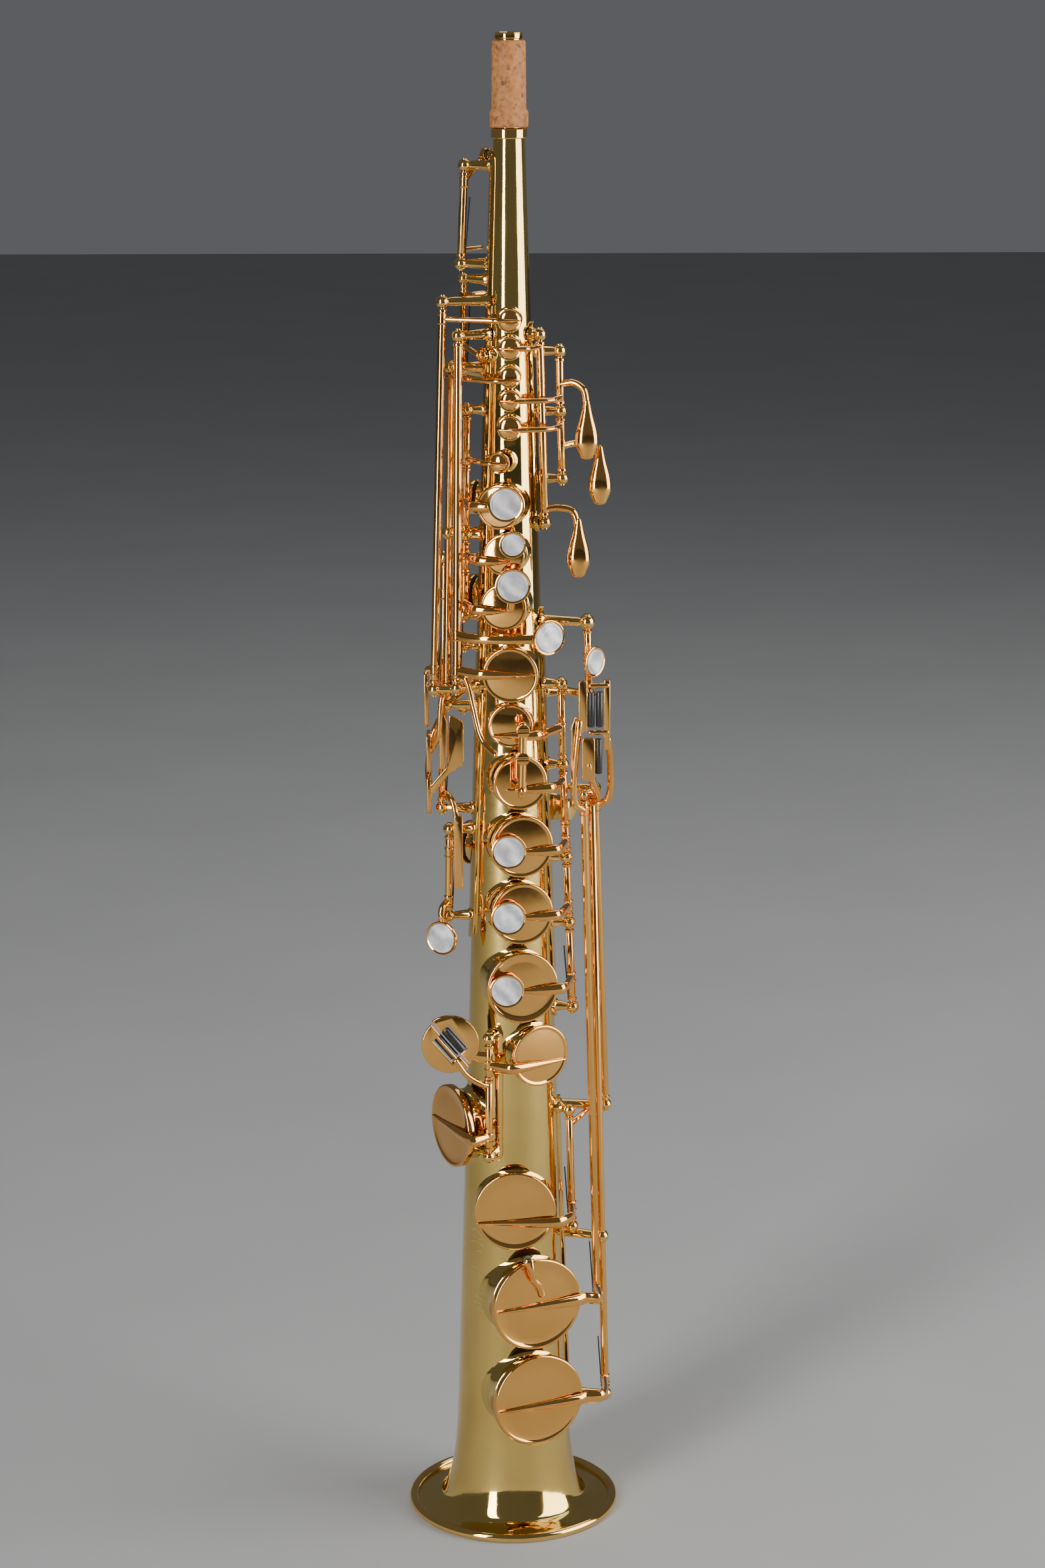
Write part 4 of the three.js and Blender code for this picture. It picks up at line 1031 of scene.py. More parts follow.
# ---- body -----------------------------------------------------------------------------------
@dataclass
class Bore:
    """Body tube, bell, rolled rim, neck sleeve and cork."""

    root: str = Body.ROOT.value
    sleeve_proud: float = 0.9
    cork_radius: float = 7.0
    wall_of_chimney: float = 0.8
    flange_height: float = 2.0
    flange_reach: float = 138.0
    shell: Grown = field(default_factory=bore_shell)

    def chimney(self, hole: Hole) -> Form:
        """A tone hole's chimney, drawn out of the body in a small curve.

        Args:
            hole: the tone hole.

        Returns:
            A ring whose foot follows the body's surface.
        """
        sides, outer = 72, hole.chimney_radius
        inner = outer - self.wall_of_chimney
        skirt = min(2.2, 0.8 + hole.r * 0.08)
        stations = [(inner, -0.7, 0.0), (outer + skirt, -0.35, 0.0), (outer + skirt * 0.96, 0.05, 0.0)]
        stations += [(outer + skirt * 0.45, 0.28, 0.02), (outer + skirt * 0.12, 0.7, 0.1), (outer, 1.3, 0.35)]
        stations += [(outer, 0.0, 0.92), (outer + 0.12, -0.05, 1.0), (outer - 0.1, 0.14, 1.0)]
        stations += [(inner + 0.1, 0.14, 1.0), (inner, 0.0, 1.0)]
        form = Form()
        rings = []
        for radius, lift, share in stations:
            ring = []
            for i in range(sides):
                turn = math.tau * i / sides
                x, y = radius * math.cos(turn), radius * math.sin(turn)
                local = tube_radius(hole.z + y)
                surface = math.sqrt(max(local * local - x * x, (local * 0.12) ** 2))
                ring.append(Vector((x, y, surface * (1 - share) + hole.chimney_top * share + lift)))
            rings.append(form.ring(ring))
        for low, high in zip(rings, [*rings[1:], rings[0]]):
            form.bridge(low, high)
        return form.moved(hole.frame)

    def tube(self) -> bpy.types.Mesh:
        """The conical tube with its tone holes drilled and their chimneys on."""
        shell = self.shell.mesh("body_tube_brass", Rings=90, Foot=BODY_FOOT + 0.02, Top=NECK_FOOT - 0.02)
        drills = Form()
        for hole in HOLES.values():
            inner = hole.chimney_radius - self.wall_of_chimney - 0.02
            low, high = tube_radius(hole.z) * 0.35, hole.chimney_top + 3
            drills.add(lathe([(0, low), (inner, low), (inner, high), (0, high)], 48).moved(hole.frame))
        work = bpy.data.objects.new("shell_work", shell)
        tool = bpy.data.objects.new("drill_work", drills.mesh("drills"))
        for thing in (work, tool):
            bpy.context.scene.collection.objects.link(thing)
        cut = work.modifiers.new("drill", "BOOLEAN")
        cut.operation, cut.object, cut.solver = "DIFFERENCE", tool, "EXACT"
        bpy.context.view_layer.update()
        drilled = bpy.data.meshes.new_from_object(work.evaluated_get(bpy.context.evaluated_depsgraph_get()))
        for thing in (work, tool):
            bpy.data.objects.remove(thing)
        joined = bmesh.new()
        joined.from_mesh(drilled)
        joined.from_mesh(Form().add(*(self.chimney(hole) for hole in HOLES.values())).mesh("chimneys"))
        joined.to_mesh(drilled)
        joined.free()
        smooth(drilled)
        return drilled

    def rim(self) -> Form:
        """The rolled wire round the bell."""
        middle = BELL_RADIUS - RIM_WIRE
        turns = [math.tau * i / 24 for i in range(24)]
        profile = [(middle + RIM_WIRE * math.cos(t), RIM_WIRE + RIM_WIRE * math.sin(t)) for t in turns]
        flat = [(r, max(z, 0.12) if abs(r - middle) < 1.5 else z) for r, z in profile]
        return lathe([(r, z if z > 0.12 else 0.0) for r, z in flat], 144, closed=True)

    def sleeve(self) -> Form:
        """The neck end with its ferrule and beaded tip."""
        foot, top = tube_radius(NECK_FOOT), tube_radius(LENGTH) + 0.6
        profile = [
            (foot, NECK_FOOT), (foot + 0.6, NECK_FOOT), (foot + 0.9, NECK_FOOT + 0.4),
            (foot + 0.9, NECK_FOOT + 3.6), (foot + 0.5, NECK_FOOT + 4.0), (top - 0.4, NECK_FOOT + 4.2),
            (top - 0.4, 637.4), (top - 0.1, 637.6), (top, 638.0), (top, 639.5),
            (top - 0.4, LENGTH), (top - 1.1, LENGTH), (top - 1.6, 639.6),
            (tube_radius(LENGTH) - WALL, 637.5), (foot - WALL, NECK_FOOT),
        ]
        return lathe(profile, 64, closed=True)

    def cork(self) -> Form:
        """The sanded cork with its thicker foot."""
        inner = tube_radius(LENGTH) + 0.2 + GAP
        wide, slim = self.cork_radius + 0.85, self.cork_radius
        profile = [
            (inner, 602.4), (wide - 0.4, 602.4), (wide, 602.9), (wide + 0.05, 605.5), (wide, 608.2),
            (wide - 0.3, 609.0), (slim + 0.1, 609.6), (slim, 611.0), (slim - 0.02, 620.0),
            (slim - 0.15, 635.6), (slim - 0.4, 636.6), (inner, 637.0),
        ]
        return lathe(profile, 72, closed=True)

    def build(self) -> None:
        """Makes the pieces of the bore."""
        finished("body_tube_brass", self.tube(), BODY_BRASS, self.root, ["body_tube"])
        bell = self.shell.mesh(
            "bell_brass", Rings=90, Foot=self.flange_height, Top=BODY_FOOT, Crowding=3.0, Wall=0.9,
            Cone=CONE_RADIUS - 0.17, Flare=8.6, Flare_decay=12.0, Lip=self.flange_reach, Lip_decay=0.735,
        )
        finished("bell_brass", bell, BODY_BRASS, self.root, ["bell"])
        finished("bell_rim_brass", self.rim(), TRIM_BRASS, self.root, ["bell_rim"])
        finished("neck_sleeve_brass", self.sleeve(), TRIM_BRASS, self.root, ["neck_sleeve"])
        finished("neck_cork_sheet", self.cork(), CORK, self.root, ["neck_cork"])


@dataclass(frozen=True)
class Post:
    """A post: its ball's centre, the azimuth of its foot, points between, and the ball's radius."""

    at: Point
    foot: float
    via: tuple[tuple[float, float], ...] = ()
    radius: float = 2.7
    line: str = ""


@dataclass(frozen=True)
class Rib:
    """A strip soldered to the body that carries posts."""

    start: float
    end: float
    low: float
    high: float
    posts: tuple[Post, ...]


def ends(line: str, top_foot: float, low_foot: float, radius: float = 2.7) -> tuple[Post, Post]:
    """The two posts at the ends of a hinge line."""
    ln = LINES[line]
    return Post(ln.top, top_foot, radius=radius, line=line), Post(ln.foot, low_foot, radius=radius, line=line)


def mid(line: str, z: float, foot: float, radius: float = 2.7) -> Post:
    """A post part way down a hinge line."""
    return Post(tuple(LINES[line].at(z)), foot, radius=radius, line=line)


RIBS = {
    "left_rib": Rib(-100, -62, 262, 592, (
        *ends("upper_octave", -96, -96), Post(LINES["high_f_sharp"].top, -74, line="high_f_sharp"),
        Post(LINES["high_f_sharp"].foot, -70, ((-20, -7),), line="high_f_sharp"), *ends("g", -66, -66),
        *ends("high_e", -84, -84), mid("high_e", 436.6, -84, 3.0), *ends("left_stack", -78, -78),
        mid("left_stack", 435.8, -78), mid("left_stack", 402, -78), Post((-20.1, 0, 361.6), -88),
        *ends("side_b_flat", -95, -88), *ends("lower_octave", -96, -96, 2.3),
        *ends("trill_f_sharp", -76, -76),
    )),
    "octave_lever_rib": Rib(158, 178, 466, 546, ends("octave_lever", 166, 166)),
    "back_rib": Rib(-172, -148, 357, 475, ends("side_c", -156, -156)),
    "palm_rib": Rib(62, 104, 437, 524, (
        *ends("palm_f", 66, 68), *ends("palm_e_flat", 90, 90), Post(LINES["palm_d"].foot, 90, line="palm_d"),
    )),
    "right_rib": Rib(70, 104, 226, 405, (
        Post(LINES["g_sharp_lever"].top, 76, radius=3.2, line="g_sharp_lever"),
        Post(LINES["g_sharp_lever"].foot, 96, ((24, 3),), line="g_sharp_lever"), *ends("g_sharp", 78, 78),
        mid("right_stack", 297.6, 78), mid("right_stack", 268.8, 78),
        Post(LINES["right_stack"].foot, 78, line="right_stack"),
        Post(LINES["low_c_sharp_lever"].top, 98, ((24, 3.5),), line="low_c_sharp_lever"),
        Post(LINES["low_b_flat"].top, 98, ((24, 3.5), (35.6, 1.5)), 2.2, "low_b_flat"),
        Post(LINES["low_b"].top, 98, ((24, 3.5), (35.6, 1.5), (34.1, -5.5)), 2.2, "low_b"),
    )),
    "low_rib": Rib(80, 106, 46.5, 189, (
        *ends("low_c_sharp", 84, 84), Post(LINES["low_c_sharp_lever"].foot, 100, line="low_c_sharp_lever"),
        mid("low_b_flat", 125.4, 98, 3.0), Post(LINES["low_b"].foot, 88, radius=2.2, line="low_b"),
        Post(LINES["low_b_flat"].foot, 90, line="low_b_flat"),
    )),
    "pinky_rib": Rib(-33, -11, 166, 226, ends("pinky", -24, -22)),
}


@dataclass
class PostWork:
    """Ribs, posts, their balls, and the fixed thumb and strap fittings."""

    root: str = Body.ROOT.value
    thick: float = 1.2
    heads: Grown = field(default_factory=post_heads)

    def strip(self, rib: Rib) -> Form:
        """A rounded strip that lies on the body.

        Args:
            rib: the strip's bounds.

        Returns:
            The strip.
        """
        middle, half = (rib.start + rib.end) / 2, (rib.end - rib.start) / 2
        form = Form()
        rings = []
        steps = 36
        reach = math.radians(half) * tube_radius((rib.low + rib.high) / 2)
        span = rib.high - rib.low
        for i in range(steps + 1):
            z = rib.low + span * (0.5 - 0.5 * math.cos(math.pi * i / steps))
            inset = min(z - rib.low, rib.high - z)
            narrow = 1.0 if inset >= reach else math.sqrt(max(0.06, 1 - (1 - inset / reach) ** 2))
            ring = []
            for share, height in (
                (-1, -0.4), (-1, 0.8), (-0.97, 1.1), (-0.9, 1.2), (-0.45, 1.2), (0, 1.2), (0.45, 1.2),
                (0.9, 1.2), (0.97, 1.1), (1, 0.8), (1, -0.4), (0.5, -0.4), (0, -0.4), (-0.5, -0.4),
            ):
                ring.append(on_body(middle + half * narrow * share, z, height * self.thick / 1.2))
            rings.append(form.ring(ring))
        for low, high in zip(rings, rings[1:]):
            form.bridge(low, high)
        form.faces += [tuple(reversed(rings[0])), tuple(rings[-1])]
        return form

    def stem(self, post: Post) -> Form:
        """The tapered stem of a post, with its foot flange."""
        base = on_body(post.foot, post.at[2], 0.9)
        stations = [base, *(Vector((x, y, post.at[2])) for x, y in post.via), Vector(post.at)]
        form = Form()
        for i, (start, end) in enumerate(zip(stations, stations[1:])):
            line = end - start
            length = line.length
            thick = 2.3 if i == 0 else 1.6
            slim = min(1.55, post.radius * 0.62)
            profile = [(0, -0.6), (thick + 0.7, -0.6), (thick + 0.7, 0.35)]
            profile += [(thick + 0.35, 0.75), (thick, 1.2)]
            if i > 0:
                profile = [(0, -0.8), (1.2, -0.8), (1.6, 0), (1.6, 0.4)]
            profile += [(slim + 0.25, length - post.radius * 1.15), (slim, length - post.radius * 0.95)]
            profile += [(slim, length), (0, length)]
            form.add(lathe(profile, 24).moved(aim(start, line)))
        return form

    def fittings(self) -> None:
        """The thumb hook, thumb rest and strap ring."""
        hook = sweep(
            [(0, 17.5, 312), (0.5, 21.0, 312), (9, 25.3, 312), (18, 24.9, 312), (23.4, 20.6, 312)],
            [(3.4, 8), (2.2, 7.4), (1.7, 6.2), (1.7, 6.0), (1.9, 5.2)], power=3.0, steps=10,
        )
        tip = lathe([(0, 0), (4.2, 0), (4.8, 0.5), (4.8, 2.6), (4.2, 3.2), (2.4, 3.5), (0, 3.5)], 40)
        hook.add(tip.moved(aim((23.0, 20.6, 312), (0.78, -0.62, 0))))
        hook.add(self.strip(Rib(160, 186, 296, 326, ())))
        finished("thumb_hook_brass", hook, TRIM_BRASS, self.root, ["thumb_hook"])
        dish = [(0, 0), (2.4, 0), (2.4, 1.1), (6.6, 1.1), (7, 1.5), (7, 2.1), (6.4, 2.7)]
        dish += [(5.6, 3.0), (4.2, 2.5), (0, 2.2)]
        rest = self.strip(Rib(158, 186, 431, 449, ()))
        rest.add(lathe(dish, 48).moved(aim(on_body(174, 440, 0.8), outward(174))))
        finished("thumb_rest_brass", rest, TRIM_BRASS, self.root, ["thumb_rest"])
        turns = [math.tau * i / 16 for i in range(16)]
        ring = lathe([(5.3 + 1.1 * math.cos(t), 1.2 * math.sin(t)) for t in turns], 48, closed=True)
        place = Matrix.Translation((1.5, tube_radius(352) + 8, 352)) @ Matrix.Rotation(math.pi / 2, 4, "Y")
        stem = rod((1.5, 15, 352), (1.5, 17.8, 352), 2.0)
        strap = self.strip(Rib(162, 185, 342, 362, ())).add(ring.moved(place), stem)
        finished("strap_ring_brass", strap, TRIM_BRASS, self.root, ["strap_ring"])

    def build(self) -> None:
        """Makes the ribs with their stems, all the balls, and the fittings."""
        for name, rib in RIBS.items():
            form = self.strip(rib).add(*(self.stem(post) for post in rib.posts))
            finished(f"{name}_brass", form, TRIM_BRASS, self.root, [name])
        posts = [post for rib in RIBS.values() for post in rib.posts]
        along = [LINES[p.line].along if p.line else Vector((0, 0, 1)) for p in posts]
        seed = points_mesh("post_seeds", [p.at for p in posts], along=along, size=[p.radius for p in posts])
        finished("post_balls", self.heads.mesh("post_balls", seed), TRIM_BRASS, self.root)
        self.fittings()


# ---- key work -------------------------------------------------------------------------------
@dataclass(frozen=True)
class Bar:
    """A swept bar: the points of its middle, its half sizes there, and its section."""

    path: tuple[Point, ...]
    sizes: tuple[tuple[float, float], ...]
    up: Point = (0, 0, 1)
    power: float = 2.3

    def form(self) -> Form:
        """The bar."""
        return sweep(self.path, self.sizes, up=self.up, power=self.power)


def wire(path: Sequence[Point], radius: float, tip: float = 0.8) -> Bar:
    """A round bar that thins to a share of its radius at the far end."""
    count = len(path) - 1
    sizes = [radius * (1 - (1 - tip) * i / count) for i in range(count + 1)]
    return Bar(tuple(path), tuple((s, s) for s in sizes), power=2.0)


def drop(place: Point, half: float, tall: float, thick: float) -> Bar:
    """A teardrop touch that hangs from its narrow end."""
    x, y, z = place
    shares = ((1.0, 0.28, 0.5), (0.55, 0.55, 0.8), (0.0, 0.92, 1.0), (-0.45, 1.0, 1.0), (-0.85, 0.62, 0.7))
    path = tuple((x, y, z + tall * share) for share, _, _ in shares)
    sizes = tuple((half * wide, thick / 2 * deep) for _, wide, deep in shares)
    return Bar(path, sizes, (0, 1, 0), 2.1)


@dataclass(frozen=True)
class Slab:
    """A flat plate with rounded corners: its middle, half width, half height and thickness."""

    at: Point
    half: tuple[float, float]
    thick: float
    facing: Point = (0, -1, 0)
    corner: float = 1.6

    def form(self) -> Form:
        """The plate."""
        wide, tall = self.half
        corners = [(-wide, -tall), (wide, -tall), (wide, tall), (-wide, tall)]
        return plate(rounded(corners, self.corner), self.thick, aim(self.at, self.facing))


@dataclass(frozen=True)
class Shape:
    """A plate with a free outline, standing upright and facing the front."""

    corners: tuple[tuple[float, float], ...]
    y: float
    thick: float
    corner: float = 2.0

    def form(self) -> Form:
        """The plate."""
        return plate(rounded(self.corners, self.corner), self.thick, aim((0, self.y, 0), (0, -1, 0)))


@dataclass(frozen=True)
class Screw:
    """A cheese-head screw with a slot, whose head faces the front."""

    at: Point
    radius: float
    length: float

    def form(self) -> Form:
        """The screw, its head in two halves with the slot between them."""
        head = Form()
        for side in (-1, 1):
            arc = [math.radians(12 + 156 * i / 14) for i in range(15)]
            outline = [Vector((self.radius * math.cos(t), side * self.radius * math.sin(t), 0)) for t in arc]
            head.add(plate(outline, 0.8, aim(Vector(self.at) - Vector((0, 0.3, 0)), (0, -1, 0)), 0.15))
        foot = Vector(self.at) + Vector((0, self.length, 0))
        return head.add(rod(self.at, foot, self.radius))


@dataclass(frozen=True)
class Stop:
    """A round bumper: where it starts, the way it points, its radius and its length."""

    at: Point
    towards: Point
    radius: float
    length: float

    def form(self) -> Form:
        """The bumper."""
        end = Vector(self.at) + Vector(self.towards).normalized() * self.length
        return rod(self.at, end, self.radius, 24, 0.3)


@dataclass(frozen=True)
class PearlSeat:
    """Where a pearl sits, the way it faces, its radius and the stalk behind its holder."""

    at: Point
    az: float
    radius: float = PEARL_RADIUS
    stalk: float = 1.9

    @property
    def matrix(self) -> Matrix:
        """Matrix from the pearl's own axes, with +Z towards the finger."""
        return aim(self.at, outward(self.az))

    def holder(self) -> Form:
        """The brass holder, a shallow dish with a rolled edge on a stalk."""
        face, back = self.radius, -1.5 - self.stalk
        edge = face + 1.0
        profile = [
            (0, back), (2.9, back), (2.5, back + 0.4), (1.9, back * 0.6 - 0.6), (2.2, -1.5),
            (edge * 0.66, -1.1), (edge * 0.92, -0.65), (edge, -0.2), (edge + 0.05, 0.3),
            (edge - 0.1, 0.75), (edge - 0.35, 0.85), (face + 0.12, 0.7), (face + 0.08, 0.02), (0, 0),
        ]
        return lathe(profile, 56).moved(self.matrix)

    def pearl(self) -> Form:
        """The dished pearl with a fine ring cut in its face."""
        face = self.radius
        profile = [
            (0, 0.06), (face - 0.02, 0.06), (face, 0.7), (face - 0.18, 1.02), (face - 0.5, 1.16),
            (face * 0.79, 1.1), (face * 0.77, 0.98), (face * 0.75, 1.04), (face * 0.4, 0.82), (0, 0.74),
        ]
        return lathe(profile, 56).moved(self.matrix)


PEARLS = {
    "b": PearlSeat((-1.8, -24.2, 451.9), -4, stalk=3.2),
    "bis": PearlSeat((1.1, -22.8, 434.9), 2, 4.6, 1.2),
    "a": PearlSeat((1.1, -25.6, 418.2), 3),
    "g": PearlSeat((15.8, -22.6, 396.0), 30),
    "g_sharp": PearlSeat((34.8, -14, 384), 50, 5.4),
    "f": PearlSeat((-0.8, -27.6, 305.8), 2),
    "e": PearlSeat((-1.1, -28.6, 277.3), 2),
    "d": PearlSeat((-1.9, -29.6, 245.7), 2),
    "trill": PearlSeat((-29.5, -12, 263.8), -30),
}


def cup(hole: Hole) -> Form:
    """A key cup with a rolled edge and a shallow dome.

    Args:
        hole: the tone hole that it covers.

    Returns:
        The shut cup, hollow underneath for its pad.
    """
    r, low, top = hole.r, hole.pad_face, hole.cup_top
    profile = [(0, low + 1.62), (r - 0.72, low + 1.62), (r - 0.7, low + 0.95), (r - 0.35, low + 0.8)]
    profile += [(r - 0.05, low + 1.0), (r, low + 1.3), (r, top - 0.75), (r - 0.12, top - 0.35)]
    if r < SMALL_CUP:
        profile += [(r - 0.45, top - 0.2), (r - 0.8, top - 0.32)]
        profile += [(r * 0.7, top + 0.25), (r * 0.35, top + 0.6)]
        return lathe([*profile, (0, top + 0.7)], 56).moved(hole.frame)
    step = min(1.5, r * 0.11)
    profile += [(r - 0.4, top - 0.12), (r - 0.8, top - 0.05)]
    profile += [(r - step, top - 0.22), (r - step - 0.4, top - 0.45)]
    profile += [(r * 0.72, top - 0.3), (r * 0.45, top - 0.05), (r * 0.2, top + 0.06), (0, top + 0.1)]
    return lathe(profile, 88).moved(hole.frame)


def pad(hole: Hole) -> Form:
    """The pad in a cup: a disc with a soft edge and a pressed ring.

    Args:
        hole: the tone hole that it shuts.

    Returns:
        The pad.
    """
    r, low = hole.r - 0.8, hole.pad_face
    seat = hole.chimney_radius
    profile = [(0, low + 0.16), (seat - 0.7, low + 0.1), (seat, low + 0.12), (min(seat + 0.6, r - 0.4), low)]
    profile += [(r - 0.25, low + 0.1), (r, low + 0.45), (r, low + 1.5), (0, low + 1.5)]
    return lathe(profile, 72).moved(hole.frame)


def hinge_tube(line: Line, high: float, low: float, radius: float, collars: Sequence[float]) -> Form:
    """A hinge tube with beads at both ends and a collar at each arm.

    Args:
        line: the hinge line.
        high: height of its upper end.
        low: height of its lower end.
        radius: the tube's radius.
        collars: heights of the collars.

    Returns:
        The tube.
    """
    start, end = line.at(low), line.at(high)
    length = (end - start).length
    bead = [(0.0, 0.0), (0.0, 0.28), (0.18, 0.42), (0.95, 0.42), (1.15, 0.2), (1.3, -0.05), (1.45, 0.0)]
    marks = [(0.0, -radius), *bead]
    for z in sorted(collars):
        middle = (line.at(z) - start).length
        if 4.0 < middle < length - 4.0:
            marks += [(middle - 2.2, 0.0), (middle - 2.0, 0.4), (middle - 1.6, 0.5), (middle - 1.4, 0.15)]
            marks += [(middle + 1.4, 0.15), (middle + 1.6, 0.5), (middle + 2.0, 0.4), (middle + 2.2, 0.0)]
    marks += [(length - at, out) for at, out in reversed(bead)] + [(length, -radius)]
    profile = [(max(radius + out, 0.0), at) for at, out in marks]
    return lathe(profile, 28).moved(aim(start, end - start, (0, 1, 0)))


@dataclass(frozen=True)
class Key:
    """A key: its hinge tube, its cup and arm, and whatever else it carries.

    Shapes over an open hole are given as if the key were shut, and turn with it.
    """

    name: str
    line: str
    high: float
    low: float
    hole: str = ""
    side: int = 1
    z: float = 0.0
    reach: float = 2.2
    bend: tuple[tuple[float, float], ...] = ()
    tip: float = 0.8
    pearl: str = ""
    carries: tuple = ()
    fixed: tuple = ()
    collars: tuple[float, ...] = ()
    felts: tuple = ()
    tube: float = TUBE

    def swing(self) -> Matrix:
        """Matrix from how the key is built to how it stands at rest."""
        hole = HOLES.get(self.hole)
        if hole is None or not hole.open:
            return Matrix.Identity(4)
        line = LINES[self.line]
        pivot = line.at(hole.z)
        middle = on_body(hole.az, hole.z, CHIMNEY) - pivot
        push = line.along.cross(middle).dot(outward(hole.az))
        turn = Matrix.Rotation(OPEN_LIFT / push, 4, line.along)
        return Matrix.Translation(pivot) @ turn @ Matrix.Translation(-pivot)

    def arm(self, hole: Hole) -> Form:
        """The arm from the hinge tube over the cup, which tapers past the middle.

        Args:
            hole: the tone hole under the cup.

        Returns:
            The arm.
        """
        z = self.z or hole.z
        start = LINES[self.line].at(z)
        bends = [Vector((x, y, z)) for x, y in self.bend]
        edge = hole.over(self.side * (hole.r + self.reach), 0.1, z)
        rim = hole.over(self.side * hole.r * 0.93, 0.75, z)
        inner = hole.over(self.side * hole.r * 0.45, 0.75, z)
        far = hole.over(-self.side * hole.r * self.tip, 0.1, z)
        broad = 1.6 + hole.r * 0.05 if hole.r > SMALL_CUP else 1.15
        path = [start, *bends, edge, rim, inner, far]
        sizes = [(1.25, broad)] * (1 + len(bends))
        sizes += [(1.15, broad), (1.4, broad), (1.35, broad * 0.85), (0.45, 0.4)]
        return sweep(path, sizes, power=1.7)

    def build(self) -> None:
        """Makes the key's brass, pad, pearl and felts."""
        line = LINES[self.line]
        hole = HOLES.get(self.hole)
        collars = list(self.collars)
        brass = Form()
        if hole:
            collars.append(self.z or hole.z)
            brass.add(cup(hole))
            if self.side:
                brass.add(self.arm(hole))
        brass.add(hinge_tube(line, self.high, self.low, self.tube, collars))
        brass.add(*(item.form() for item in self.carries))
        swing = self.swing()
        brass = brass.moved(swing).add(*(item.form() for item in self.fixed))
        if self.pearl:
            seat = PEARLS[self.pearl]
            brass.add(seat.holder())
            finished(f"{self.pearl}_shell", seat.pearl(), PEARL, self.name, [f"{self.pearl}_pearl"])
        finished(f"{self.name}_brass", brass, KEY_BRASS, self.name, [self.name])
        if hole:
            stands_for = [f"{self.hole}_pad"] if f"{self.hole}_pad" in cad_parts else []
            leather = finished(
                f"{self.name}_leather", pad(hole).moved(swing), LEATHER, self.name, stands_for
            )
        for i, felt in enumerate(self.felts):
            finished(f"{self.name}_felt_{i}", felt.form().moved(swing), FELT, self.name)


@dataclass(frozen=True)
class Roller:
    """A roller between two points, on a body of its own."""

    name: str
    start: Point
    end: Point
    radius: float

    def build(self) -> None:
        """Makes the roller."""
        form = rod(self.start, self.end, self.radius, 36, 0.4)
        finished(f"{self.name}_black", form, EBONITE, self.name, [self.name])


@dataclass(frozen=True)
class PinkyHalf:
    """Half of the split round plate for the little finger: +1 for the upper half."""

    side: int
    at: Point = (-26.2, -25.5, 221.3)
    radius: float = 12.4
    thick: float = 1.6
    split: float = -50.0
    roller: float = 1.9
    half_length: float = 6.0

    @property
    def matrix(self) -> Matrix:
        """Matrix from the plate's own axes, with +Z to the front and the split along X."""
        turn = Matrix.Rotation(math.radians(self.split), 4, "Z")
        return Matrix.Translation(Vector(self.at)) @ Matrix.Rotation(math.pi / 2, 4, "X") @ turn

    def form(self) -> Form:
        """The half plate with its notch and the roller's axle."""
        notch, deep = self.half_length + 0.5, self.roller * 2 + 0.9
        low = 0.5
        bottom = math.asin(low / self.radius)
        turns = [bottom + (math.pi - 2 * bottom) * i / 36 for i in range(37)]
        outline = [(self.radius * math.cos(t), self.radius * math.sin(t)) for t in turns]
        outline += [(-notch, low), (-notch, deep), (notch, deep), (notch, low)]
        made = plate([Vector((x, y * self.side, 0)) for x, y in outline], self.thick, self.matrix)
        centre = self.side * (self.roller + 0.35)
        axle = rod((-notch - 0.4, centre, 0), (notch + 0.4, centre, 0), 0.6, 12).moved(self.matrix)
        return made.add(axle)

    def black(self, name: str) -> Roller:
        """The roller in the notch."""
        centre = self.side * (self.roller + 0.35)
        ends_at = [self.matrix @ Vector((x, centre, 0)) for x in (-self.half_length, self.half_length)]
        return Roller(name, ends_at[0], ends_at[1], self.roller)


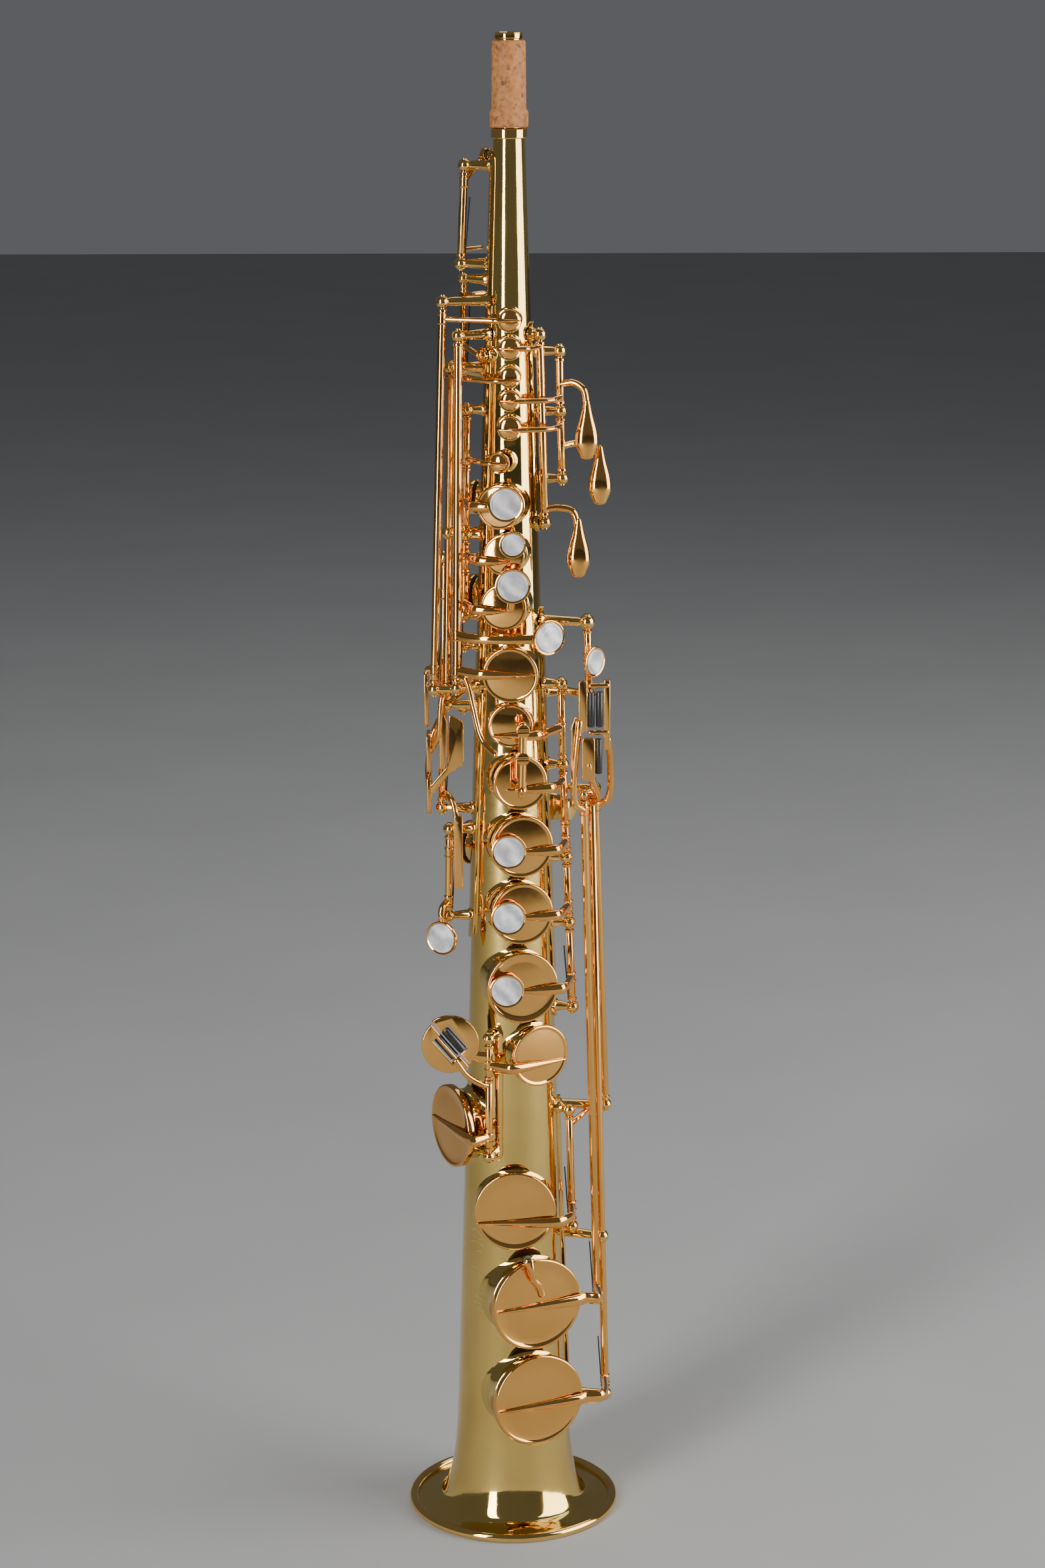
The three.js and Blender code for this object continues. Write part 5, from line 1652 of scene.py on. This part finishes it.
# How far a hinge tube stops from the middle of its end post: usual, and at the slim posts.
STEP, SLIM_STEP = 3.0, 2.6
HIGH_KEYS = (
    Key("high_f_sharp_key", "high_f_sharp", 532.7 - STEP, 371 + STEP, "high_f_sharp", -1, 525.7, carries=(
        wire(((-31.9, -8, 379.5), (-34.6, -4, 379), (-35.6, 1, 375)), 1.25, 1.0),
        Slab((-35.5, 2.0, 365.4), (5.5, 12.0), 1.8, (-1, 0, 0), 2.6),
    ), collars=(379.5,)),
    Key("high_e_key", "high_e", 505.4 - STEP, 363.3 + STEP, "high_e", -1, 501.2, bend=((-16, -9),), carries=(
        wire(
            ((-27, -3, 370.5), (-29, -6.3, 366.5), (-29.8, -7, 358), (-30.5, -6.5, 350), (-34, -3, 343)), 1.3,
        ),
        Slab((-34.7, -0.3, 342.7), (5.7, 8.4), 1.8, (-1, 0, 0), 2.4),
        Shape(((-30.1, 335.8), (-27.3, 337), (-26.6, 356), (-28.2, 360.8), (-30.1, 358)), -6.6, 1.4, 1.6),
    ), collars=(370.5,)),
    Key("side_c_key", "side_c", 470 - STEP, 361.6 + STEP, "side_c", -1, carries=(
        wire(
            ((-10.4, 21.4, 369), (-24, 16, 362), (-33, 10, 348), (-35.2, 8.6, 334), (-34.8, 4, 326)),
            1.4, 1.0,
        ),
        Slab((-34.7, -0.2, 324.5), (5.7, 8.3), 1.8, (-1, 0, 0), 2.4),
        Shape((
            (-26, 359.6), (-19.9, 356.6), (-19.7, 338), (-25.6, 334.4), (-34.2, 323.6), (-35.1, 324.6),
            (-35.1, 327.5), (-26.8, 337.3),
        ), -4.9, 1.1, 1.6),
    ), collars=(369,)),
    Key("side_b_flat_key", "side_b_flat", 425 - STEP, 318 + STEP, "side_b_flat", 1, reach=-5, carries=(
        wire(((-29.2, 0.2, 323), (-27.4, -5, 325.4), (-24.4, -9, 322), (-22.8, -10, 314)), 1.3, 1.0),
        Slab((-22.3, -10.1, 301.0), (1.9, 16.2), 2.1, (0, -1, 0), 1.5),
    ), collars=(323,)),
    Key("upper_octave_key", "upper_octave", 587 - STEP, 547.2 + STEP, "upper_octave", 0, 580, carries=(
        wire(((-18.4, 3, 580), (-15.5, 6, 584), (-12, 7.5, 588.5), (-9.8, 6, 590.8)), 1.1, 1.0),
        wire(((-19.8, 3, 552.8), (-16, 8, 552.8), (-11.8, 13.2, 552.8)), 1.1, 0.9),
    ), collars=(552.8,)),
    Key("lower_octave_key", "lower_octave", 541 - SLIM_STEP, 503 + SLIM_STEP, "lower_octave", 0, 514,
        tube=1.3, carries=(
            wire(((-19.1, 4.5, 514), (-16.6, -3, 513), (-12.9, -8.8, 511)), 1.1, 1.0),
            wire(((-18.9, 4.5, 534), (-15, 10, 534), (-10.6, 14.4, 534)), 1.1, 0.9),
        ), collars=(534,)),
    Key("octave_lever", "octave_lever", 541 - STEP, 470 + STEP, carries=(
        wire(((5.4, 21, 480), (3, 23.6, 479.5), (-2, 24.4, 479)), 1.5, 1.0),
        Slab((-4, 24.4, 479), (4.0, 7.0), 2.0, (0, 1, 0), 2.2),
    ), collars=(480,)),
)
PALM_KEYS = (
    Key("palm_f_key", "palm_f", 519.2 - STEP, 441.5 + STEP, "palm_f", 1, carries=(
        wire(((14.3, -6.3, 447), (20, -6.6, 447.6), (26, -7, 446), (28.3, -8, 438)), 1.45, 1.0),
        drop((28.3, -8, 430.3), 4.7, 12, 4.8),
    ), collars=(447,)),
    Key("palm_e_flat_key", "palm_e_flat", 511.7 - STEP, 486.9 + STEP, "palm_e_flat", 1, bend=((17.5, -12),),
        carries=(
            wire(((20.7, 0, 498), (26, -2, 498.8), (30.5, -4, 496), (31.7, -4.8, 488)), 1.45, 1.0),
            drop((31.7, -5, 479.2), 4.7, 12, 4.8),
        )),
    Key("palm_d_key", "palm_d", 486.9 - STEP, 458.9 + STEP, "palm_d", 1, 481.2, bend=((17.5, -12),), carries=(
        wire(((21.2, 0, 472), (26, 4.6, 472.6), (33, 5, 472.4), (37, 2.4, 467)), 1.45, 1.0),
        drop((37.3, 1.5, 459.2), 4.7, 12, 4.8),
    )),
)
LEFT_STACK = (
    Key("vent_key", "left_stack", 488 - STEP, 464.2, "vent", -1, 467.8),
    Key("b_key", "left_stack", 463.9, 435.8 + STEP, "b", -1, 449.8, tip=0.3, pearl="b"),
    Key("bis_key", "left_stack", 435.8 - STEP, 420.4, "bis", -1, 427.5, tip=0.3, pearl="bis"),
    Key("a_key", "left_stack", 420.1, 402 + STEP, "a", -1, 407, tip=0.2, pearl="a", fixed=(
        wire(((0.2, -22.4, 408), (0.8, -23.4, 413), (1.1, -23.4, 418.2)), 1.6, 1.0),
    )),
    Key("g_key", "g", 519.1 - STEP, 372.9 + STEP, "g", -1, 380.2, tip=0.85, tube=1.8, pearl="g", carries=(
        Bar(
            ((-22.3, -13.4, 395.2), (-15, -19.6, 395.2), (-6, -21.8, 395.2), (8.9, -19.8, 395.2),
             (15.4, -17.6, 395.2)),
            ((1.3, 2.4), (1.2, 2.0), (1.1, 1.8), (1.1, 2.0), (1.2, 2.6)), power=2.6,
        ),
        wire(
            ((-22.4, -13.9, 378), (-18, -17, 377), (-15, -18, 366), (-11, -22, 353), (-4.6, -27, 347.6)), 1.4,
        ),
    ), collars=(395.2,)),
)
RIGHT_STACK = (
    Key("g_sharp_cup_key", "g_sharp", 372.7 - STEP, 338 + STEP, "g_sharp", 1, 354),
    Key("g_sharp_lever", "g_sharp_lever", 399.7 - 3.5, 368 + STEP, pearl="g_sharp", carries=(
        Bar(((32.5, -7, 384), (33.4, -9.8, 384), (34.2, -12.0, 384)), ((1.2, 3.6), (1.1, 3.2), (1.1, 2.4))),
    ), collars=(384,)),
    Key("f_sharp_key", "right_stack", 338 - STEP, 312.3, "f_sharp", 1, 331.5, tip=0.5, carries=(
        wire(((2.1, -20, 333), (1.8, -26, 333.2), (1.2, -32, 333.6)), 2.1, 0.9),
        wire(((1.0, -31, 331.5), (1.3, -31, 346), (1.6, -31, 361)), 1.7, 1.0),
        Screw((1.5, -33.2, 359.1), 2.7, 3.6), Screw((1.3, -33.2, 347.4), 2.7, 3.6),
    )),
    Key("f_key", "right_stack", 312, 297.6 + STEP, "f", 1, 304.8, tip=0.15, pearl="f"),
    Key("e_key", "right_stack", 297.6 - STEP, 268.8 + STEP, "e", 1, 276.6, tip=0.15, pearl="e"),
    Key("d_key", "right_stack", 268.8 - STEP, 231.4 + STEP, "d", 1, 244.6, tip=0.15, pearl="d"),
    Key("trill_f_sharp_key", "trill_f_sharp", 310.1 - STEP, 272 + STEP, "trill_f_sharp", 1, reach=1.5,
        pearl="trill", carries=(
            wire(((-26.7, -6, 279), (-29.5, -9.5, 276), (-29.6, -10.2, 268)), 1.4, 1.0),
        ), collars=(279,)),
)
UPPER_PINKY, LOWER_PINKY = PinkyHalf(1), PinkyHalf(-1)
LOW_KEYS = (
    Key("e_flat_key", "pinky", 222.6 - STEP, 204.8, "e_flat", -1, 211, reach=2, tip=0.85, carries=(
        Bar(((-9.7, -23.8, 214), (-14, -24.9, 215.2), (-19, -25.2, 217.2)),
            ((1.1, 3.0), (1.0, 2.2), (0.8, 1.8))),
        UPPER_PINKY,
    )),
    Key("low_c_key", "pinky", 204.5, 170.5 + STEP, "low_c", 1, 179.1, reach=2.4,
        bend=((-17, -31.2),), tip=0.9, carries=(
            wire(((-9.7, -24.4, 202), (-13, -25.4, 203), (-19, -25.6, 207), (-24, -25.6, 214)), 1.5),
            LOWER_PINKY,
        )),
    Key("low_c_sharp_key", "low_c_sharp", 184.7 - STEP, 131.4 + STEP, "low_c_sharp", 1, 141,
        bend=((25.2, -20),), tip=0.92,
        carries=(wire(((24.9, -6, 178), (29, -2, 180), (34, 5.5, 182)), 1.4),), collars=(178,)),
    Key("low_c_sharp_lever", "low_c_sharp_lever", 326 - STEP, 184.1 + STEP, carries=(
        wire(((36.2, 1.8, 318), (41.5, 1, 322), (42, -3, 338), (40.8, -10.8, 350)), 1.5, 1.0),
        Slab((40.3, -11.9, 361), (1.3, 15), 2.4, (0, -1, 0), 0.9),
        wire(((40.4, -12.6, 373.6), (37, -13.3, 373.6), (33.4, -13.6, 373.6)), 1.1, 1.0),
        wire(((40.4, -12.4, 353.6), (37, -13.2, 353.6), (33.4, -13.6, 353.6)), 1.0, 1.0),
        wire(((40.4, 3, 190), (38.4, 6.8, 188), (36, 8.4, 186)), 1.4),
    ), collars=(318, 190)),
    Key("low_b_key", "low_b", 326 - SLIM_STEP, 97.6 + SLIM_STEP, "low_b", 1, 103.6, reach=2,
        bend=((36.2, -21),), tip=0.92, carries=(
            wire(((30.8, -9.6, 319), (26.8, -12.6, 323), (26.4, -13.6, 336), (28.4, -13.9, 358)), 1.5, 1.0),
            Slab((29.8, -14.0, 365), (1.8, 11), 1.6, (0, -1, 0), 1.4),
            Shape(((24.9, 335.5), (28.3, 337.5), (28.6, 357), (26.9, 361), (25.0, 356)), -12.9, 1.3, 1.4),
            Bar(((10.6, -26.6, 108.5), (9.4, -28.6, 113), (6.8, -30.3, 117), (6.2, -30.6, 121),
                 (4.8, -30.2, 125.3)),
                ((1.7, 1.1), (1.5, 1.2), (1.3, 1.1), (1.4, 1.1), (2.3, 1.0)), (0, 1, 0), 2.0),
        ), collars=(319,), felts=(Stop((4.8, -27.9, 125.4), (0, -1, 0), 1.7, 1.5),)),
    Key("low_b_flat_key", "low_b_flat", 326 - SLIM_STEP, 51 + STEP, "low_b_flat", 1, 58, reach=1.2,
        bend=((38.2, -20),), tip=0.92, carries=(
            wire(((34.2, -5.6, 321), (36.4, -9.5, 325), (33.6, -14.6, 333), (32, -15.6, 340)), 1.5, 1.0),
            Slab((31.7, -15.9, 342.7), (2.7, 9.2), 1.8, (0, -1, 0), 1.5),
        ), collars=(321,)),
)
ROLLERS = (
    UPPER_PINKY.black("e_flat_roller"), LOWER_PINKY.black("low_c_roller"),
    Roller("upper_left_roller", (33.6, -13.6, 356), (33.6, -13.6, 371), 1.5),
    Roller("upper_right_roller", (37.1, -13.2, 356), (37.1, -13.2, 371), 1.5),
    Roller("lower_roller", (36.8, -13.6, 336), (36.8, -13.6, 351), 1.5),
)


@dataclass
class KeyWork:
    """All keys with their rollers and needle springs."""

    groups: tuple[tuple[Key, ...], ...] = (HIGH_KEYS, PALM_KEYS, LEFT_STACK, RIGHT_STACK, LOW_KEYS)
    needles: Grown = field(default_factory=needle_springs)
    spring_length: float = 24.0

    def springs(self) -> None:
        """A needle spring beside each hinge tube that is long enough."""
        places, edges = [], []
        for group in self.groups:
            for key in group:
                if key.high - key.low < self.spring_length + 6:
                    continue
                line = LINES[key.line]
                aside = Vector((-line.top[0], -line.top[1], 0)).normalized() * 2.7
                high = line.at(key.low) + aside * 0.6
                low = line.at(key.low + self.spring_length) + aside
                edges.append((len(places), len(places) + 1))
                places += [high, low]
        seed = points_mesh("spring_seeds", places, edges)
        finished("needle_springs", self.needles.mesh("needle_springs", seed), SPRING, Body.ROOT.value)

    def build(self) -> None:
        """Makes every key, roller and spring."""
        for group in self.groups:
            for key in group:
                key.build()
        for roller in ROLLERS:
            roller.build()
        self.springs()


# ---- studio ---------------------------------------------------------------------------------
@dataclass(frozen=True)
class Softbox:
    """An area light on a stand: its azimuth, distance, height, size and power."""

    name: str
    az: float
    distance: float
    height: float
    size: tuple[float, float]
    power: float
    target: float = 0.3
    colour: tuple[float, float, float] = (1.0, 0.985, 0.96)

    def build(self) -> None:
        """Makes the light, turned to a point on the instrument's axis."""
        lamp = bpy.data.lights.new(self.name, "AREA")
        lamp.shape = "RECTANGLE"
        lamp.size, lamp.size_y = self.size
        lamp.energy = self.power
        lamp.color = self.colour
        stand = bpy.data.objects.new(self.name, lamp)
        place = outward(self.az) * self.distance + Vector((0, 0, self.height))
        stand.matrix_world = aim(place, place - Vector((0, 0, self.target)))
        bpy.context.scene.collection.objects.link(stand)


@dataclass(frozen=True)
class Studio:
    """Paper floor, soft lights, a dim surround and the camera."""

    lights: tuple[Softbox, ...] = (
        Softbox("strip_left", -35, 1.7, 0.75, (0.42, 1.7), 38.0),
        Softbox("wide_right", 75, 1.5, 0.70, (1.35, 1.6), 46.0),
        Softbox("overhead", 150, 0.9, 1.9, (1.6, 1.2), 9.0),
    )
    surround: tuple[float, float, float] = (0.11, 0.113, 0.12)
    place: Point = (0.0057, -1.441, 0.684)
    tilt: float = 76.13
    lens: float = 80.4
    roll: float = 0.134

    def floor(self) -> None:
        """The paper, which isn't part of the instrument."""
        mesh = Form().add(plate(rounded([(-6000, -6000), (6000, -6000), (6000, 6000), (-6000, 6000)], 10),
                                4, Matrix.Translation((0, 0, -2.0)), 0.3)).mesh("paper_floor")
        mesh.materials.append(PAPER.material())
        paper = bpy.data.objects.new("paper_floor", mesh)
        bpy.context.scene.collection.objects.link(paper)

    def camera(self) -> None:
        """The camera, level with the neck and tilted down."""
        eye = bpy.data.cameras.new("eye")
        eye.lens, eye.sensor_width = self.lens, 36.0
        stand = bpy.data.objects.new("eye", eye)
        stand.location = self.place
        stand.rotation_euler = (math.radians(self.tilt), math.radians(self.roll), 0.0)
        bpy.context.scene.collection.objects.link(stand)
        bpy.context.scene.camera = stand

    def build(self) -> None:
        """Makes the floor, the surround, the lights and the camera."""
        self.floor()
        world = bpy.data.worlds.new("surround")
        world.use_nodes = True
        ground = world.node_tree.nodes["Background"]
        ground.inputs["Color"].default_value = (*self.surround, 1.0)
        bpy.context.scene.world = world
        for light in self.lights:
            light.build()
        self.camera()


def main() -> None:
    """Builds the instrument and its studio, then notes the sizes."""
    logging.basicConfig(level=logging.INFO, format="%(message)s")
    for part in (Bore(), PostWork(), KeyWork(), Studio()):
        part.build()
    LOG.info("all pieces made")


if __name__ == "__main__":
    main()
